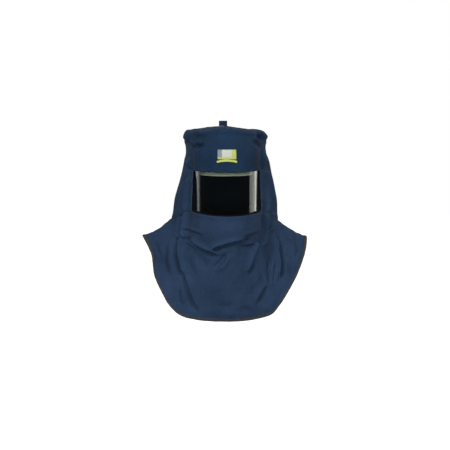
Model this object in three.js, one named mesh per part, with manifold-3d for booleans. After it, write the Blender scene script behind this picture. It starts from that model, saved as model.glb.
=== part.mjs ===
// An arc flash hood: a sewn cloth hood with a wide bib and back cape, a curved face shield behind
// its window, and the peaked hard cap inside that carries it on the head.
// Millimetres. The origin is where the top of the head meets the cap's straps, +Z is up, the window
// looks along -Y and +X is the wearer's left.
import * as THREE from 'three';
import { mergeVertices } from 'three/addons/utils/BufferGeometryUtils.js';
import Module from 'manifold-3d';

const wasm = await Module();
wasm.setup();

// Walls and gaps
const clothWall = 2.2;
const seamGap = 0.4;
const seatGap = 0.3;

// Face shield: a clear sheet bent to a U, with room for the cap between its legs
const shieldRoom = 4;
const shieldWall = 2;
const shieldCentre = 88;
const shieldTopDrop = 56;
const shieldBottomDrop = 286;
const shieldArcEnd = 88;
const shieldLeg = 84;
const shieldFlare = 8;
const shieldFacets = 44;

// Hard cap
const headClearance = 40;
const capWall = 2.6;
const capHalfWidth = 103;
const capFront = 126;
const capBack = 133;
const capRimDrop = 99;
const peakReach = 46;
const peakHalfAngle = 62;
const peakDroop = 17;
const peakWall = 3;
const lugHeight = 30;
const lugLength = 34;
const lugStandOff = 4;

// Straps that hold the cap off the head
const strapWall = 2;
const strapWidth = 20;
const bandHalfWidth = 79;
const bandHalfLength = 97;
const bandHeight = 26;
const bandLift = 3;
const strapFacets = 9;
const bandFacets = 12;

// Shield carrier: the U-shaped bracket that hangs the shield from the cap's lugs
const carrierWall = 3;
const carrierHeight = 26;
const carrierInset = 3;

// Hood outline
const crownAir = 3.3;
const crownHalfWidth = 142;
const crownSeamLift = 8;
const crownCentre = 8;
const crownLean = 12;
const frontSlack = 4;
const sideSlack = 14.5;
const backDepth = 152;
const neckDrop = 275;
const neckHalfWidth = 188.5;
const browEdgeDrop = 99;
const sillDrop = 238;
const sillBow = 8;
const sideBow = 0.35;
const backRoundness = 2.4;

// Bib and back cape
const shoulderHalfWidth = 288;
const hemDrop = 602;
const hemFront = 172;
const hemBack = 165;
const chestTuck = 12;
const foldReach = 25;
const foldDepth = 19;

// Hem binding
const bindingReveal = 8;
const bindingWall = 0.9;
const bindingGap = 0.45;

// Window surround: the black flap between the window's edge and the shield
const surroundLap = 6;
const surroundGap = 1.5;
const surroundSeat = 0.6;

// Hanging loop on the crown and badge on the brow
const trimShift = -6;
const loopWidth = 28;
const loopHeight = 18;
const loopGap = 8;
const loopWall = 1.6;
const loopFoot = 7;
const badgeWidth = 60;
const badgeHeight = 31;
const badgeWall = 1.4;
const badgeDrop = 28;
const badgeStandOff = 0.9;
const plateColumns = 8;
const plateRows = 3;
const lipWidth = 63;
const lipHeight = 6.8;
const lipWall = 1.6;
const lipArch = 4.2;

const capTop = headClearance + capWall;
const shieldRadius = capHalfWidth + shieldRoom;
const crownRise = capTop + crownAir + clothWall;
const barrelFront = shieldCentre + shieldRadius + frontSlack + clothWall;
const radians = THREE.MathUtils.degToRad;
const lerp = THREE.MathUtils.lerp;

// Mesh helpers

// A closed wall between an outer and an inner grid of points, both [row][column].
function shellBetween(outer, inner, closedColumns = false) {
  const rows = outer.length;
  const columns = outer[0].length;
  const positions = [...outer.flat(), ...inner.flat()].flatMap((p) => p.toArray());
  const outerAt = (i, j) => i * columns + (j % columns);
  const innerAt = (i, j) => rows * columns + outerAt(i, j);
  const index = [];
  const quad = (a, b, c, d) => index.push(a, b, c, a, c, d);
  const lastColumn = closedColumns ? columns : columns - 1;
  for (let i = 0; i < rows - 1; i++) {
    for (let j = 0; j < lastColumn; j++) {
      quad(outerAt(i, j), outerAt(i + 1, j), outerAt(i + 1, j + 1), outerAt(i, j + 1));
      quad(innerAt(i, j), innerAt(i, j + 1), innerAt(i + 1, j + 1), innerAt(i + 1, j));
    }
  }
  for (let j = 0; j < lastColumn; j++) {
    quad(outerAt(0, j), outerAt(0, j + 1), innerAt(0, j + 1), innerAt(0, j));
    const last = rows - 1;
    quad(outerAt(last, j), innerAt(last, j), innerAt(last, j + 1), outerAt(last, j + 1));
  }
  for (let i = 0; i < rows - 1 && !closedColumns; i++) {
    const last = columns - 1;
    quad(outerAt(i, 0), innerAt(i, 0), innerAt(i + 1, 0), outerAt(i + 1, 0));
    quad(outerAt(i, last), outerAt(i + 1, last), innerAt(i + 1, last), innerAt(i, last));
  }
  return closedGeometry(positions, index);
}

// Drops the faces that a pole or a shared corner has flattened to nothing.
function closedGeometry(positions, index) {
  const raw = new THREE.BufferGeometry();
  raw.setAttribute('position', new THREE.Float32BufferAttribute(positions, 3));
  raw.setIndex(index);
  const merged = mergeVertices(raw, 1e-3);
  const kept = [];
  const at = merged.index.array;
  for (let i = 0; i < at.length; i += 3) {
    if (at[i] !== at[i + 1] && at[i + 1] !== at[i + 2] && at[i + 2] !== at[i]) {
      kept.push(at[i], at[i + 1], at[i + 2]);
    }
  }
  merged.setIndex(kept);
  return merged;
}

// A closed loop of cross sections: rings[k] holds the corners of section k in order.
function loopOfSections(rings) {
  const corners = rings[0].length;
  const positions = rings.flat().flatMap((p) => p.toArray());
  const at = (k, c) => (k % rings.length) * corners + (c % corners);
  const index = [];
  for (let k = 0; k < rings.length; k++) {
    for (let c = 0; c < corners; c++) {
      const [a, b, c1, d] = [at(k, c), at(k, c + 1), at(k + 1, c + 1), at(k + 1, c)];
      if (c % 4 === 2) index.push(a, b, d, b, c1, d);
      else index.push(a, c1, d, a, b, c1);
    }
  }
  return closedGeometry(positions, index);
}

function toSolid(geometry) {
  const bare = new THREE.BufferGeometry();
  bare.setAttribute('position', geometry.getAttribute('position'));
  if (geometry.index) bare.setIndex(geometry.index);
  const merged = mergeVertices(bare, 1e-3);
  return new wasm.Manifold(new wasm.Mesh({
    numProp: 3,
    vertProperties: merged.attributes.position.array,
    triVerts: new Uint32Array(merged.index.array),
  }));
}

function toGeometry(solid) {
  const mesh = solid.getMesh();
  const geometry = new THREE.BufferGeometry();
  geometry.setAttribute('position', new THREE.Float32BufferAttribute(mesh.vertProperties, 3));
  geometry.setIndex([...mesh.triVerts]);
  return geometry;
}

function joined(geometries) {
  return toGeometry(geometries.map(toSolid).reduce((whole, piece) => whole.add(piece)));
}

function boxBetween(low, high) {
  const box = new THREE.BoxGeometry(high[0] - low[0], high[1] - low[1], high[2] - low[2]);
  return box.translate((low[0] + high[0]) / 2, (low[1] + high[1]) / 2, (low[2] + high[2]) / 2);
}

// An outline drawn in X and Y, as tall as height, standing on the level z
function upright(shape, z, height, curveSegments = 12) {
  const geometry = new THREE.ExtrudeGeometry(shape, { depth: height, bevelEnabled: false, curveSegments });
  return geometry.translate(0, 0, z);
}

// The hood's skin is lofted through rings of stations. Half a ring runs from the front over the
// window's edge (4), the front seam (5) and the side (8) to the back (12).
const frontAngles = [0, 25, 50, 72, 88];
const sideShares = [0.4, 0.62, 0.82, 1];
const backAngles = [26, 50, 72, 90];
const edgeStation = frontAngles.length - 1;
const seamStation = edgeStation + 1;
const sideStation = edgeStation + sideShares.length;
const rearStation = sideStation + 2;
const backStation = sideStation + backAngles.length;

// Rings of the upper hood. drop: level of the sides below the head's top, as a share of neckDrop.
// lift and arch: the window's edge above the sides, and the middle above that edge, in the same share.
// slack: share of sideSlack outside the shield. forward: share of barrelFront.
// right, left: half widths as shares of the span from crown to neck. back: share of backDepth.
// sag: how much lower the left side hangs than the right, a share of neckDrop.
const upperRings = [
  {
    name: 'crown seam', drop: -crownSeamLift / neckDrop, lift: 0.01, arch: 0.052,
    slack: -0.1, forward: 0.8, right: 0, left: 0.13, back: 0.96,
  },
  {
    name: 'crown waist', drop: 0.055, lift: 0, arch: 0.012,
    slack: 0.25, forward: 0.915, right: -0.15, left: 0.04, back: 0.985,
  },
  {
    name: 'brow', drop: 0.165, lift: 0, arch: 0,
    slack: 0.4, forward: 0.99, right: -0.17, left: 0.08, back: 1,
  },
  {
    name: 'shield top', drop: 0.255, lift: 0, arch: 0,
    slack: 0.42, forward: 1, right: -0.03, left: 0.28, back: 1,
  },
  {
    name: 'brow edge', drop: browEdgeDrop / neckDrop, lift: 0, arch: -0.011,
    slack: 0.45, forward: 1, right: 0.08, left: 0.43, back: 1,
  },
  {
    name: 'upper window', drop: 0.53, lift: 0, arch: 0,
    slack: 0.62, forward: 1, right: 0.33, left: 0.66, back: 0.995,
  },
  {
    name: 'lower window', drop: 0.72, lift: 0.03, arch: 0,
    slack: 0.82, forward: 1, right: 0.66, left: 0.92, back: 0.985, sag: 0.008,
  },
  {
    name: 'sill and neck', drop: 1, lift: 1 - sillDrop / neckDrop, arch: -sillBow / neckDrop,
    slack: 1, forward: 0.997, right: 0.97, left: 1.02, back: 0.98, sag: 0.03,
  },
];

// Crown dome: radius as a share of the crown seam, height as a share of the rise above that seam.
const crownRings = [
  { radius: 0, height: 1 },
  { radius: 0.3, height: 0.95 },
  { radius: 0.6, height: 0.78 },
  { radius: 0.83, height: 0.63 },
  { radius: 0.94, height: 0.46 },
  { radius: 0.99, height: 0.2 },
];

// The hem at each station: right and left are shares of shoulderHalfWidth, out a share of the hem's
// depth in front or behind, drop a share of hemDrop. sag: how much lower the left hem is, in that share.
const hemStations = [
  { right: 0, left: 0, out: -1, drop: 1 },
  { right: 0.19, left: 0.19, out: -0.995, drop: 0.998 },
  { right: 0.38, left: 0.365, out: -0.965, drop: 0.988 },
  { right: 0.55, left: 0.52, out: -0.91, drop: 0.968 },
  { right: 0.675, left: 0.622, out: -0.84, drop: 0.918 },
  { right: 0.765, left: 0.73, out: -0.74, drop: 0.848 },
  { right: 0.855, left: 0.85, out: -0.57, drop: 0.757 },
  { right: 0.895, left: 0.965, out: -0.29, drop: 0.643, sag: 0.006 },
  { right: 1, left: 1.01, out: 0, drop: 0.55, sag: 0.015 },
  { right: 0.915, left: 0.93, out: 0.3, drop: 0.64, sag: 0.006 },
  { right: 0.8, left: 0.81, out: 0.62, drop: 0.8 },
  { right: 0.5, left: 0.5, out: 0.9, drop: 0.94 },
  { right: 0, left: 0, out: 1, drop: 0.98 },
];

// Rings between neck and hem. spread: share of the way outward. fall: share of the way down.
// tuck: how far the front draws in below the shield, as a share of chestTuck.
const capeRings = [
  { spread: 0.08, fall: 0.14, tuck: -0.35 },
  { spread: 0.2, fall: 0.3, tuck: 0.9 },
  { spread: 0.38, fall: 0.5, tuck: 0.8 },
  { spread: 0.6, fall: 0.7, tuck: 0.4 },
  { spread: 0.81, fall: 0.86, tuck: 0.1 },
  { spread: 1, fall: 1, tuck: 0 },
];
const tuckShares = [1, 0.98, 0.85, 0.6, 0.35, 0.15, 0.05, 0, 0, 0, 0, 0, 0];

// Folds in the cloth, each along a line seen from the front. x: share of shoulderHalfWidth, drop: share
// of hemDrop. reach: half width of the fold, a share of foldReach. depth: its height, a share of foldDepth.
const folds = [
  { name: 'left swag', x0: -0.48, drop0: 0.52, x1: -0.12, drop1: 0.63, reach: 0.75, depth: -0.55 },
  { name: 'left swag roll', x0: -0.38, drop0: 0.6, x1: -0.1, drop1: 0.69, reach: 0.9, depth: 0.4 },
  { name: 'right swag', x0: -0.14, drop0: 0.62, x1: 0.38, drop1: 0.54, reach: 0.75, depth: -0.5 },
  { name: 'right swag roll', x0: 0.02, drop0: 0.675, x1: 0.4, drop1: 0.6, reach: 0.9, depth: 0.35 },
  { name: 'left chest fold', x0: -0.57, drop0: 0.52, x1: -0.54, drop1: 0.73, reach: 1, depth: -0.55 },
  { name: 'left lower fold', x0: -0.5, drop0: 0.74, x1: -0.38, drop1: 0.9, reach: 1.1, depth: -0.35 },
  { name: 'right chest fold', x0: 0.5, drop0: 0.52, x1: 0.3, drop1: 0.7, reach: 1, depth: -0.4 },
  { name: 'right arm fold', x0: 0.64, drop0: 0.52, x1: 0.68, drop1: 0.68, reach: 1, depth: -0.6 },
  { name: 'right lower fold', x0: 0.56, drop0: 0.72, x1: 0.42, drop1: 0.9, reach: 1.2, depth: -0.4 },
  { name: 'left arm roll', x0: -0.72, drop0: 0.56, x1: -0.68, drop1: 0.74, reach: 1.4, depth: 0.35 },
  { name: 'right arm roll', x0: 0.8, drop0: 0.57, x1: 0.76, drop1: 0.72, reach: 1.3, depth: 0.35 },
  { name: 'right crown tuck', x0: 0.28, drop0: -0.02, x1: 0.38, drop1: 0.03, reach: 0.5, depth: -0.3 },
  { name: 'left crown tuck', x0: -0.43, drop0: 0.0, x1: -0.34, drop1: 0.025, reach: 0.6, depth: -0.45 },
];

// One station's place on an upper ring, on the wearer's left (side 1) or right (side -1)
function upperPoint(ring, station, side) {
  const halfWidth = lerp(crownHalfWidth, neckHalfWidth, side > 0 ? ring.left : ring.right);
  const edge = shieldRadius + sideSlack * ring.slack;
  const forward = barrelFront * ring.forward;
  const centre = shieldCentre * ring.forward;
  const edgeDrop = ring.drop - ring.lift;
  const sag = side > 0 ? ring.sag ?? 0 : 0;
  if (station <= edgeStation) {
    const angle = radians(frontAngles[station]);
    const drop = edgeDrop - ring.arch * Math.cos(angle) ** 2;
    return [side * edge * Math.sin(angle), -centre - (forward - centre) * Math.cos(angle), -drop * neckDrop];
  }
  if (station <= sideStation) {
    const share = sideShares[station - seamStation];
    const outward = lerp(share, Math.sin(share * Math.PI / 2), sideBow);
    const backward = lerp(share, 1 - Math.cos(share * Math.PI / 2), sideBow);
    const drop = lerp(edgeDrop, ring.drop + sag, THREE.MathUtils.smoothstep(share, 0, 1));
    return [side * lerp(edge, halfWidth, outward), -centre * (1 - backward), -drop * neckDrop];
  }
  const angle = radians(backAngles[station - sideStation - 1]);
  const power = 2 / backRoundness;
  const across = halfWidth * Math.max(0, Math.cos(angle)) ** power;
  const drop = ring.drop + sag * Math.cos(angle);
  return [side * across, backDepth * ring.back * Math.sin(angle) ** power, -drop * neckDrop];
}

function crownPoint(ring, station, side) {
  const seam = upperPoint(upperRings[0], station, side);
  return [
    lerp(-crownLean, seam[0], ring.radius),
    lerp(-crownCentre, seam[1], ring.radius),
    lerp(seam[2], crownRise, ring.height),
  ];
}

function capePoint(ring, station, side) {
  const neck = upperPoint(upperRings.at(-1), station, side);
  const hem = hemStations[station];
  const depth = hem.out < 0 ? hemFront : hemBack;
  const across = side > 0 ? hem.left : -hem.right;
  const drop = hem.drop + (side > 0 ? hem.sag ?? 0 : 0);
  return [
    lerp(neck[0], across * shoulderHalfWidth, ring.spread),
    lerp(neck[1], hem.out * depth, ring.spread) + chestTuck * ring.tuck * tuckShares[station],
    lerp(neck[2], -drop * hemDrop, ring.fall),
  ];
}

const ringMakers = [
  ...crownRings.map((ring) => (station, side) => crownPoint(ring, station, side)),
  ...upperRings.map((ring) => (station, side) => upperPoint(ring, station, side)),
  ...capeRings.map((ring) => (station, side) => capePoint(ring, station, side)),
];
const levelOf = (name) => crownRings.length + upperRings.findIndex((ring) => ring.name === name);
const crownSeamLevel = levelOf('crown seam');
const browEdgeLevel = levelOf('brow edge');
const neckLevel = levelOf('sill and neck');
const hemLevel = ringMakers.length - 1;

const stationsRound = [];
for (let station = 0; station <= backStation; station++) stationsRound.push([station, 1]);
for (let station = backStation - 1; station > 0; station--) stationsRound.push([station, -1]);
const meridians = stationsRound.map(([station, side]) => new THREE.CatmullRomCurve3(
  ringMakers.map((make) => new THREE.Vector3(...make(station, side))),
));
const ringCurves = new Map();

function ringAt(level) {
  if (!ringCurves.has(level)) {
    const points = meridians.map((meridian) => meridian.getPoint(level / hemLevel));
    ringCurves.set(level, new THREE.CatmullRomCurve3(points, true));
  }
  return ringCurves.get(level);
}

// The skin without its folds. Stations count from 0 in front, + to the wearer's left.
function smoothSkin(station, level) {
  return ringAt(level).getPoint(THREE.MathUtils.euclideanModulo(station / stationsRound.length, 1));
}

function normalOf(surface, station, level) {
  const step = 0.02;
  const upLevel = Math.max(level - step, 0.01);
  const downLevel = Math.min(level + step, hemLevel);
  const along = surface(station + step, level).sub(surface(station - step, level));
  const down = surface(station, downLevel).sub(surface(station, upLevel));
  return down.cross(along).normalize();
}

function foldLift(point) {
  const seen = new THREE.Vector2(point.x, -point.z);
  let lift = 0;
  for (const fold of folds) {
    const from = new THREE.Vector2(fold.x0 * shoulderHalfWidth, fold.drop0 * hemDrop);
    const to = new THREE.Vector2(fold.x1 * shoulderHalfWidth, fold.drop1 * hemDrop);
    const line = to.clone().sub(from);
    const share = THREE.MathUtils.clamp(seen.clone().sub(from).dot(line) / line.lengthSq(), 0, 1);
    const away = seen.distanceTo(from.addScaledVector(line, share)) / (fold.reach * foldReach);
    lift += fold.depth * foldDepth * Math.exp(-away * away);
  }
  return lift;
}

function skin(station, level) {
  const point = smoothSkin(station, level);
  const inFront = THREE.MathUtils.smoothstep(-point.y, 0, shieldCentre);
  if (inFront === 0) return point;
  return point.addScaledVector(normalOf(smoothSkin, station, level), inFront * foldLift(point));
}

const skinNormal = (station, level) => normalOf(skin, station, level);

// How far the level changes over a distance along the cloth
function levelsIn(distance, station, level) {
  const step = 0.05;
  const from = Math.min(level + step, hemLevel);
  return distance * 2 * step / skin(station, from).distanceTo(skin(station, from - 2 * step));
}

function stationsIn(distance, station, level) {
  const step = 0.05;
  return distance * 2 * step / skin(station + step, level).distanceTo(skin(station - step, level));
}

// Grid lines of the cloth: closer in front and at the sides than behind
const facesPerStation = 3;
const facesPerBackStation = 2;
const steps = (from, to, count) => Array.from({ length: count + 1 }, (_, i) => lerp(from, to, i / count));

function stationsBetween(from, to) {
  const lines = [];
  for (let station = from; station < to; station++) {
    const turned = THREE.MathUtils.euclideanModulo(station, stationsRound.length);
    const behind = turned >= sideStation && turned < stationsRound.length - sideStation;
    const count = behind ? facesPerBackStation : facesPerStation;
    for (let face = 0; face < count; face++) lines.push(station + face / count);
  }
  return [...lines, to];
}

// One sewn panel: the skin between two stations and two levels, a seam gap short at each sewn edge
function clothPanel(fromStation, toStation, levels, banded = false) {
  const stations = stationsBetween(fromStation, toStation);
  const rows = banded ? [...levels.slice(0, -1), 'band', levels.at(-1)] : levels;
  const outer = [];
  const inner = [];
  rows.forEach((row, i) => {
    const outerRow = [];
    const innerRow = [];
    stations.forEach((at, j) => {
      let level = row === 'band' ? hemLevel - levelsIn(bindingReveal, at, hemLevel) : row;
      if (i === 0) level += levelsIn(seamGap / 2, at, level);
      if (i === rows.length - 1 && !banded) level -= levelsIn(seamGap / 2, at, level);
      let station = at;
      if (j === 0) station += stationsIn(seamGap / 2, at, level);
      if (j === stations.length - 1) station -= stationsIn(seamGap / 2, at, level);
      const point = skin(station, level);
      outerRow.push(point);
      innerRow.push(point.clone().addScaledVector(skinNormal(station, level), -clothWall));
    });
    outer.push(outerRow);
    inner.push(innerRow);
  });
  return shellBetween(outer, inner);
}

// Rows of the panels, as levels of the loft
const crownRows = [0, 2, 3, 4.3, crownSeamLevel];
const browRows = steps(crownSeamLevel, browEdgeLevel, 5);
const windowRows = steps(browEdgeLevel, neckLevel, 5);
const hoodRows = [...browRows, ...windowRows.slice(1)];
const chestLevel = (neckLevel + hemLevel) / 2;
const bibRows = [...steps(neckLevel, chestLevel, 10), ...steps(chestLevel, hemLevel, 4).slice(1)];
const capeRows = steps(neckLevel, hemLevel, 8);

function crownPanel() {
  const stations = stationsBetween(0, stationsRound.length).slice(0, -1);
  const top = new THREE.Vector3(-crownLean, -crownCentre, crownRise);
  const wallAt = (station, level) => {
    if (level === 0) return [top.clone(), top.clone().setZ(crownRise - clothWall)];
    const sewn = level === crownSeamLevel ? levelsIn(seamGap / 2, station, level) : 0;
    const point = skin(station, level - sewn);
    return [point, point.clone().addScaledVector(skinNormal(station, level - sewn), -clothWall)];
  };
  const rows = crownRows.map((level) => stations.map((station) => wallAt(station, level)));
  const outer = rows.map((row) => row.map(([outside]) => outside));
  const inner = rows.map((row) => row.map(([, inside]) => inside));
  return shellBetween(outer, inner, true);
}

// Folded tape round the hem, gripping the cloth's edge
function hemBinding() {
  const sections = stationsBetween(0, stationsRound.length).slice(0, -1).map((station) => {
    const edge = skin(station, hemLevel);
    const bandLevel = hemLevel - levelsIn(bindingReveal, station, hemLevel);
    const top = skin(station, bandLevel);
    const edgeNormal = skinNormal(station, hemLevel);
    const topNormal = skinNormal(station, bandLevel);
    const down = edge.clone().sub(top).normalize();
    const corner = (at, normal, lift, drop) => {
      return at.clone().addScaledVector(normal, lift).addScaledVector(down, drop);
    };
    const outside = bindingGap + bindingWall;
    const inside = -clothWall - bindingGap;
    return [
      corner(top, topNormal, outside, 0),
      corner(edge, edgeNormal, outside, outside),
      corner(edge, edgeNormal, inside - bindingWall, outside),
      corner(top, topNormal, inside - bindingWall, 0),
      corner(top, topNormal, inside, 0),
      corner(edge, edgeNormal, inside, bindingGap),
      corner(edge, edgeNormal, bindingGap, bindingGap),
      corner(top, topNormal, bindingGap, 0),
    ];
  });
  return loopOfSections(sections);
}

// Half width of the shield's outer face at a depth behind its arc
function shieldFlank(y) {
  const arcEnd = radians(shieldArcEnd);
  const startY = -shieldCentre - shieldRadius * Math.cos(arcEnd);
  return shieldRadius * Math.sin(arcEnd) + (y - startY) * Math.tan(radians(shieldFlare));
}

// The flap's seat against the shield, nearest to a point on the cloth
function seatOnShield(point) {
  const halfFace = radians(frontAngles[1] / facesPerStation / 2);
  const radius = (shieldRadius + surroundSeat) / Math.cos(halfFace);
  if (point.y > -shieldCentre - shieldRadius * Math.cos(radians(shieldArcEnd))) {
    const clear = radius - shieldRadius;
    return new THREE.Vector3(Math.sign(point.x) * (shieldFlank(point.y) + clear), point.y, point.z);
  }
  const angle = Math.atan2(point.x, -shieldCentre - point.y);
  return new THREE.Vector3(radius * Math.sin(angle), -shieldCentre - radius * Math.cos(angle), point.z);
}

function windowSurround() {
  const across = stationsBetween(-edgeStation, edgeStation);
  const edgeLoop = [
    ...across.map((station) => [station, browEdgeLevel, 0, -1]),
    ...windowRows.slice(1, -1).map((level) => [edgeStation, level, 1, 0]),
    ...across.toReversed().map((station) => [station, neckLevel, 0, 1]),
    ...windowRows.slice(1, -1).reverse().map((level) => [-edgeStation, level, -1, 0]),
  ];
  const sections = edgeLoop.map(([station, level, out, down]) => {
    const outward = Math.abs(station) === edgeStation ? Math.sign(station) : out;
    const behind = [
      station + outward * stationsIn(surroundLap, station, level),
      level + down * levelsIn(surroundLap, station, level),
    ];
    const seat = (s, l) => skin(s, l).addScaledVector(skinNormal(s, l), -clothWall - surroundGap);
    const front = seat(station, level);
    const back = seat(...behind);
    return [front, seatOnShield(front), seatOnShield(back), back];
  });
  return loopOfSections(sections);
}

// A U in plan: an arc in front and two flared legs, between two radii
function uShape(outerRadius, wall, leg, facets) {
  const arcEnd = radians(shieldArcEnd);
  const flare = radians(shieldFlare);
  const trace = (radius) => {
    const arc = steps(-arcEnd, arcEnd, facets).map((angle) => [
      radius * Math.sin(angle),
      -shieldCentre - radius * Math.cos(angle),
    ]);
    const [endX, endY] = arc.at(-1);
    const tip = [endX + leg * Math.sin(flare), endY + leg * Math.cos(flare)];
    return [[-tip[0], tip[1]], ...arc, tip];
  };
  const outline = [...trace(outerRadius), ...trace(outerRadius - wall).reverse()];
  return new THREE.Shape(outline.map(([x, y]) => new THREE.Vector2(x, y)));
}

function faceShield() {
  return upright(
    uShape(shieldRadius, shieldWall, shieldLeg, shieldFacets),
    -shieldBottomDrop,
    shieldBottomDrop - shieldTopDrop,
  );
}

// The cap's shell at a height share (0 rim, 1 top) and an angle from its front
const capFullness = 2.5;
const capFacets = 28;
const capHeights = [1, 0.975, 0.9, 0.76, 0.58, 0.37, 0.17, 0];
const peakFacets = 20;
const peakBluntness = 0.7;
const peakFan = 0.5;

function capPoint(height, angle, wall) {
  const spread = (1 - height ** capFullness) ** (1 / capFullness);
  const length = (Math.cos(angle) > 0 ? capFront : capBack) - wall;
  return new THREE.Vector3(
    (capHalfWidth - wall) * spread * Math.sin(angle),
    -length * spread * Math.cos(angle),
    lerp(-capRimDrop, capTop - wall, height),
  );
}

function capHalfWidthAt(z, wall) {
  return capPoint((z + capRimDrop) / (capTop - wall + capRimDrop), Math.PI / 2, wall).x;
}

function hardCap() {
  const angles = steps(0, 2 * Math.PI, capFacets).slice(0, -1);
  const shell = shellBetween(
    capHeights.map((height) => angles.map((angle) => capPoint(height, angle, 0))),
    capHeights.map((height) => angles.map((angle) => capPoint(height, angle, capWall))),
    true,
  );
  const half = radians(peakHalfAngle);
  const brimAngles = steps(-half, half, peakFacets);
  const brimRow = (inset, share, lift) => brimAngles.map((angle) => {
    const reach = peakReach * Math.max(0, Math.cos(angle * Math.PI / 2 / half)) ** peakBluntness;
    const out = new THREE.Vector3(Math.sin(angle) * peakFan, -1, 0).normalize();
    const level = new THREE.Vector3(0, 0, lift - peakDroop * share * share);
    return capPoint(0, angle, inset).addScaledVector(out, reach * share).add(level);
  });
  const brim = (lift) => [
    brimRow(capWall / 2, 0, lift),
    brimRow(0, 0, lift),
    brimRow(0, 0.5, lift),
    brimRow(0, 1, lift),
  ];
  const peak = shellBetween(brim(peakWall), brim(0));
  const lugs = [-1, 1].map((side) => {
    const low = -capRimDrop + (capRimDrop - shieldTopDrop - lugHeight) / 2;
    const face = capHalfWidth + lugStandOff;
    const root = capHalfWidthAt(low + lugHeight, capWall / 2);
    const ends = [side * root, side * face].sort((a, b) => a - b);
    return boxBetween([ends[0], -lugLength / 2, low], [ends[1], lugLength / 2, low + lugHeight]);
  });
  return joined([shell, peak, ...lugs]);
}

// Straps and headband, sewn and riveted into one piece that hangs in the cap's rim
function capStraps() {
  const archHeight = capRimDrop - bandLift - bandHeight / 2;
  const arch = (halfSpan) => {
    const shape = new THREE.Shape();
    const outer = halfSpan + strapWall;
    shape.absellipse(0, 0, outer, archHeight + strapWall, 0, Math.PI, false, 0);
    shape.absellipse(0, 0, halfSpan, archHeight, Math.PI, 0, true, 0);
    const geometry = upright(shape, 0, strapWidth, strapFacets);
    return geometry.rotateX(Math.PI / 2).translate(0, strapWidth / 2, -archHeight);
  };
  const band = new THREE.Shape();
  band.absellipse(0, 0, bandHalfWidth + strapWall, bandHalfLength + strapWall, 0, 2 * Math.PI, false, 0);
  const hole = new THREE.Path();
  hole.absellipse(0, 0, bandHalfWidth, bandHalfLength, 0, 2 * Math.PI, true, 0);
  band.holes.push(hole);
  const ring = upright(band, -capRimDrop + bandLift, bandHeight, bandFacets);
  const low = -capRimDrop + bandLift + bandHeight / 2 - strapWall;
  const high = low + 2 * strapWall;
  const facetShrink = Math.cos(Math.PI / capFacets) ** 2;
  const wallX = capHalfWidthAt(high, capWall) * facetShrink;
  const wallFront = wallX * (capFront - capWall) / (capHalfWidth - capWall);
  const wallBack = wallX * (capBack - capWall) / (capHalfWidth - capWall);
  const half = strapWidth / 2;
  const tabs = [
    boxBetween([bandHalfWidth + strapWall / 2, -half, low], [wallX - seatGap, half, high]),
    boxBetween([-wallX + seatGap, -half, low], [-bandHalfWidth - strapWall / 2, half, high]),
    boxBetween([-half, -wallFront + seatGap, low], [half, -bandHalfLength - strapWall / 2, high]),
    boxBetween([-half, bandHalfLength + strapWall / 2, low], [half, wallBack - seatGap, high]),
  ];
  return joined([ring, arch(bandHalfWidth), arch(bandHalfLength).rotateZ(Math.PI / 2), ...tabs]);
}

function shieldCarrier() {
  const outerRadius = shieldRadius - shieldWall - seatGap;
  const top = -shieldTopDrop - carrierInset;
  const leg = shieldLeg + lugLength / 4;
  const rail = upright(
    uShape(outerRadius, carrierWall, leg, shieldFacets / 2),
    top - carrierHeight,
    carrierHeight,
  );
  const arcEndY = -shieldCentre - outerRadius * Math.cos(radians(shieldArcEnd));
  const padBack = arcEndY + leg * Math.cos(radians(shieldFlare)) - carrierWall / 2;
  const padFront = Math.max(padBack - lugLength / 2, -lugLength / 2);
  const pads = [-1, 1].map((side) => {
    const face = capHalfWidth + lugStandOff + seatGap;
    const rear = shieldFlank(padFront) - shieldWall - seatGap - carrierWall / 2;
    const ends = [side * face, side * rear].sort((a, b) => a - b);
    return boxBetween([ends[0], padFront, top - carrierHeight], [ends[1], padBack, top]);
  });
  return joined([rail, ...pads]);
}

// Webbing folded to a loop, its two ends turned out on the crown
function hangLoop() {
  const half = loopGap / 2 + loopWall;
  const foot = half + loopFoot;
  const section = new THREE.Shape();
  section.moveTo(-foot, 0);
  section.lineTo(-half + loopWall, 0);
  section.lineTo(-half + loopWall, loopHeight - loopWall);
  section.lineTo(half - loopWall, loopHeight - loopWall);
  section.lineTo(half - loopWall, 0);
  section.lineTo(foot, 0);
  section.lineTo(foot, loopWall);
  section.lineTo(half, loopWall);
  section.lineTo(half, loopHeight - loopWall / 2);
  section.lineTo(half - loopWall / 2, loopHeight);
  section.lineTo(-half + loopWall / 2, loopHeight);
  section.lineTo(-half, loopHeight - loopWall / 2);
  section.lineTo(-half, loopWall);
  section.lineTo(-foot, loopWall);
  const geometry = new THREE.ExtrudeGeometry(section, { depth: loopWidth, bevelEnabled: false });
  geometry.rotateX(Math.PI / 2).rotateZ(Math.PI / 2);
  return geometry.translate(trimShift - loopWidth / 2, -crownCentre, crownRise + seatGap);
}

// The place on the brow that shows at x and z from the front
function onBrow(x, z) {
  const rounds = 12;
  const step = 0.02;
  let station = 0;
  let level = browEdgeLevel - 1;
  for (let round = 0; round < rounds; round++) {
    const point = skin(station, level);
    const perStation = (skin(station + step, level).x - point.x) / step;
    const perLevel = (skin(station, level + step).z - point.z) / step;
    station += (x - point.x) / perStation;
    level += (z - point.z) / perLevel;
  }
  return [station, level];
}

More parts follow.
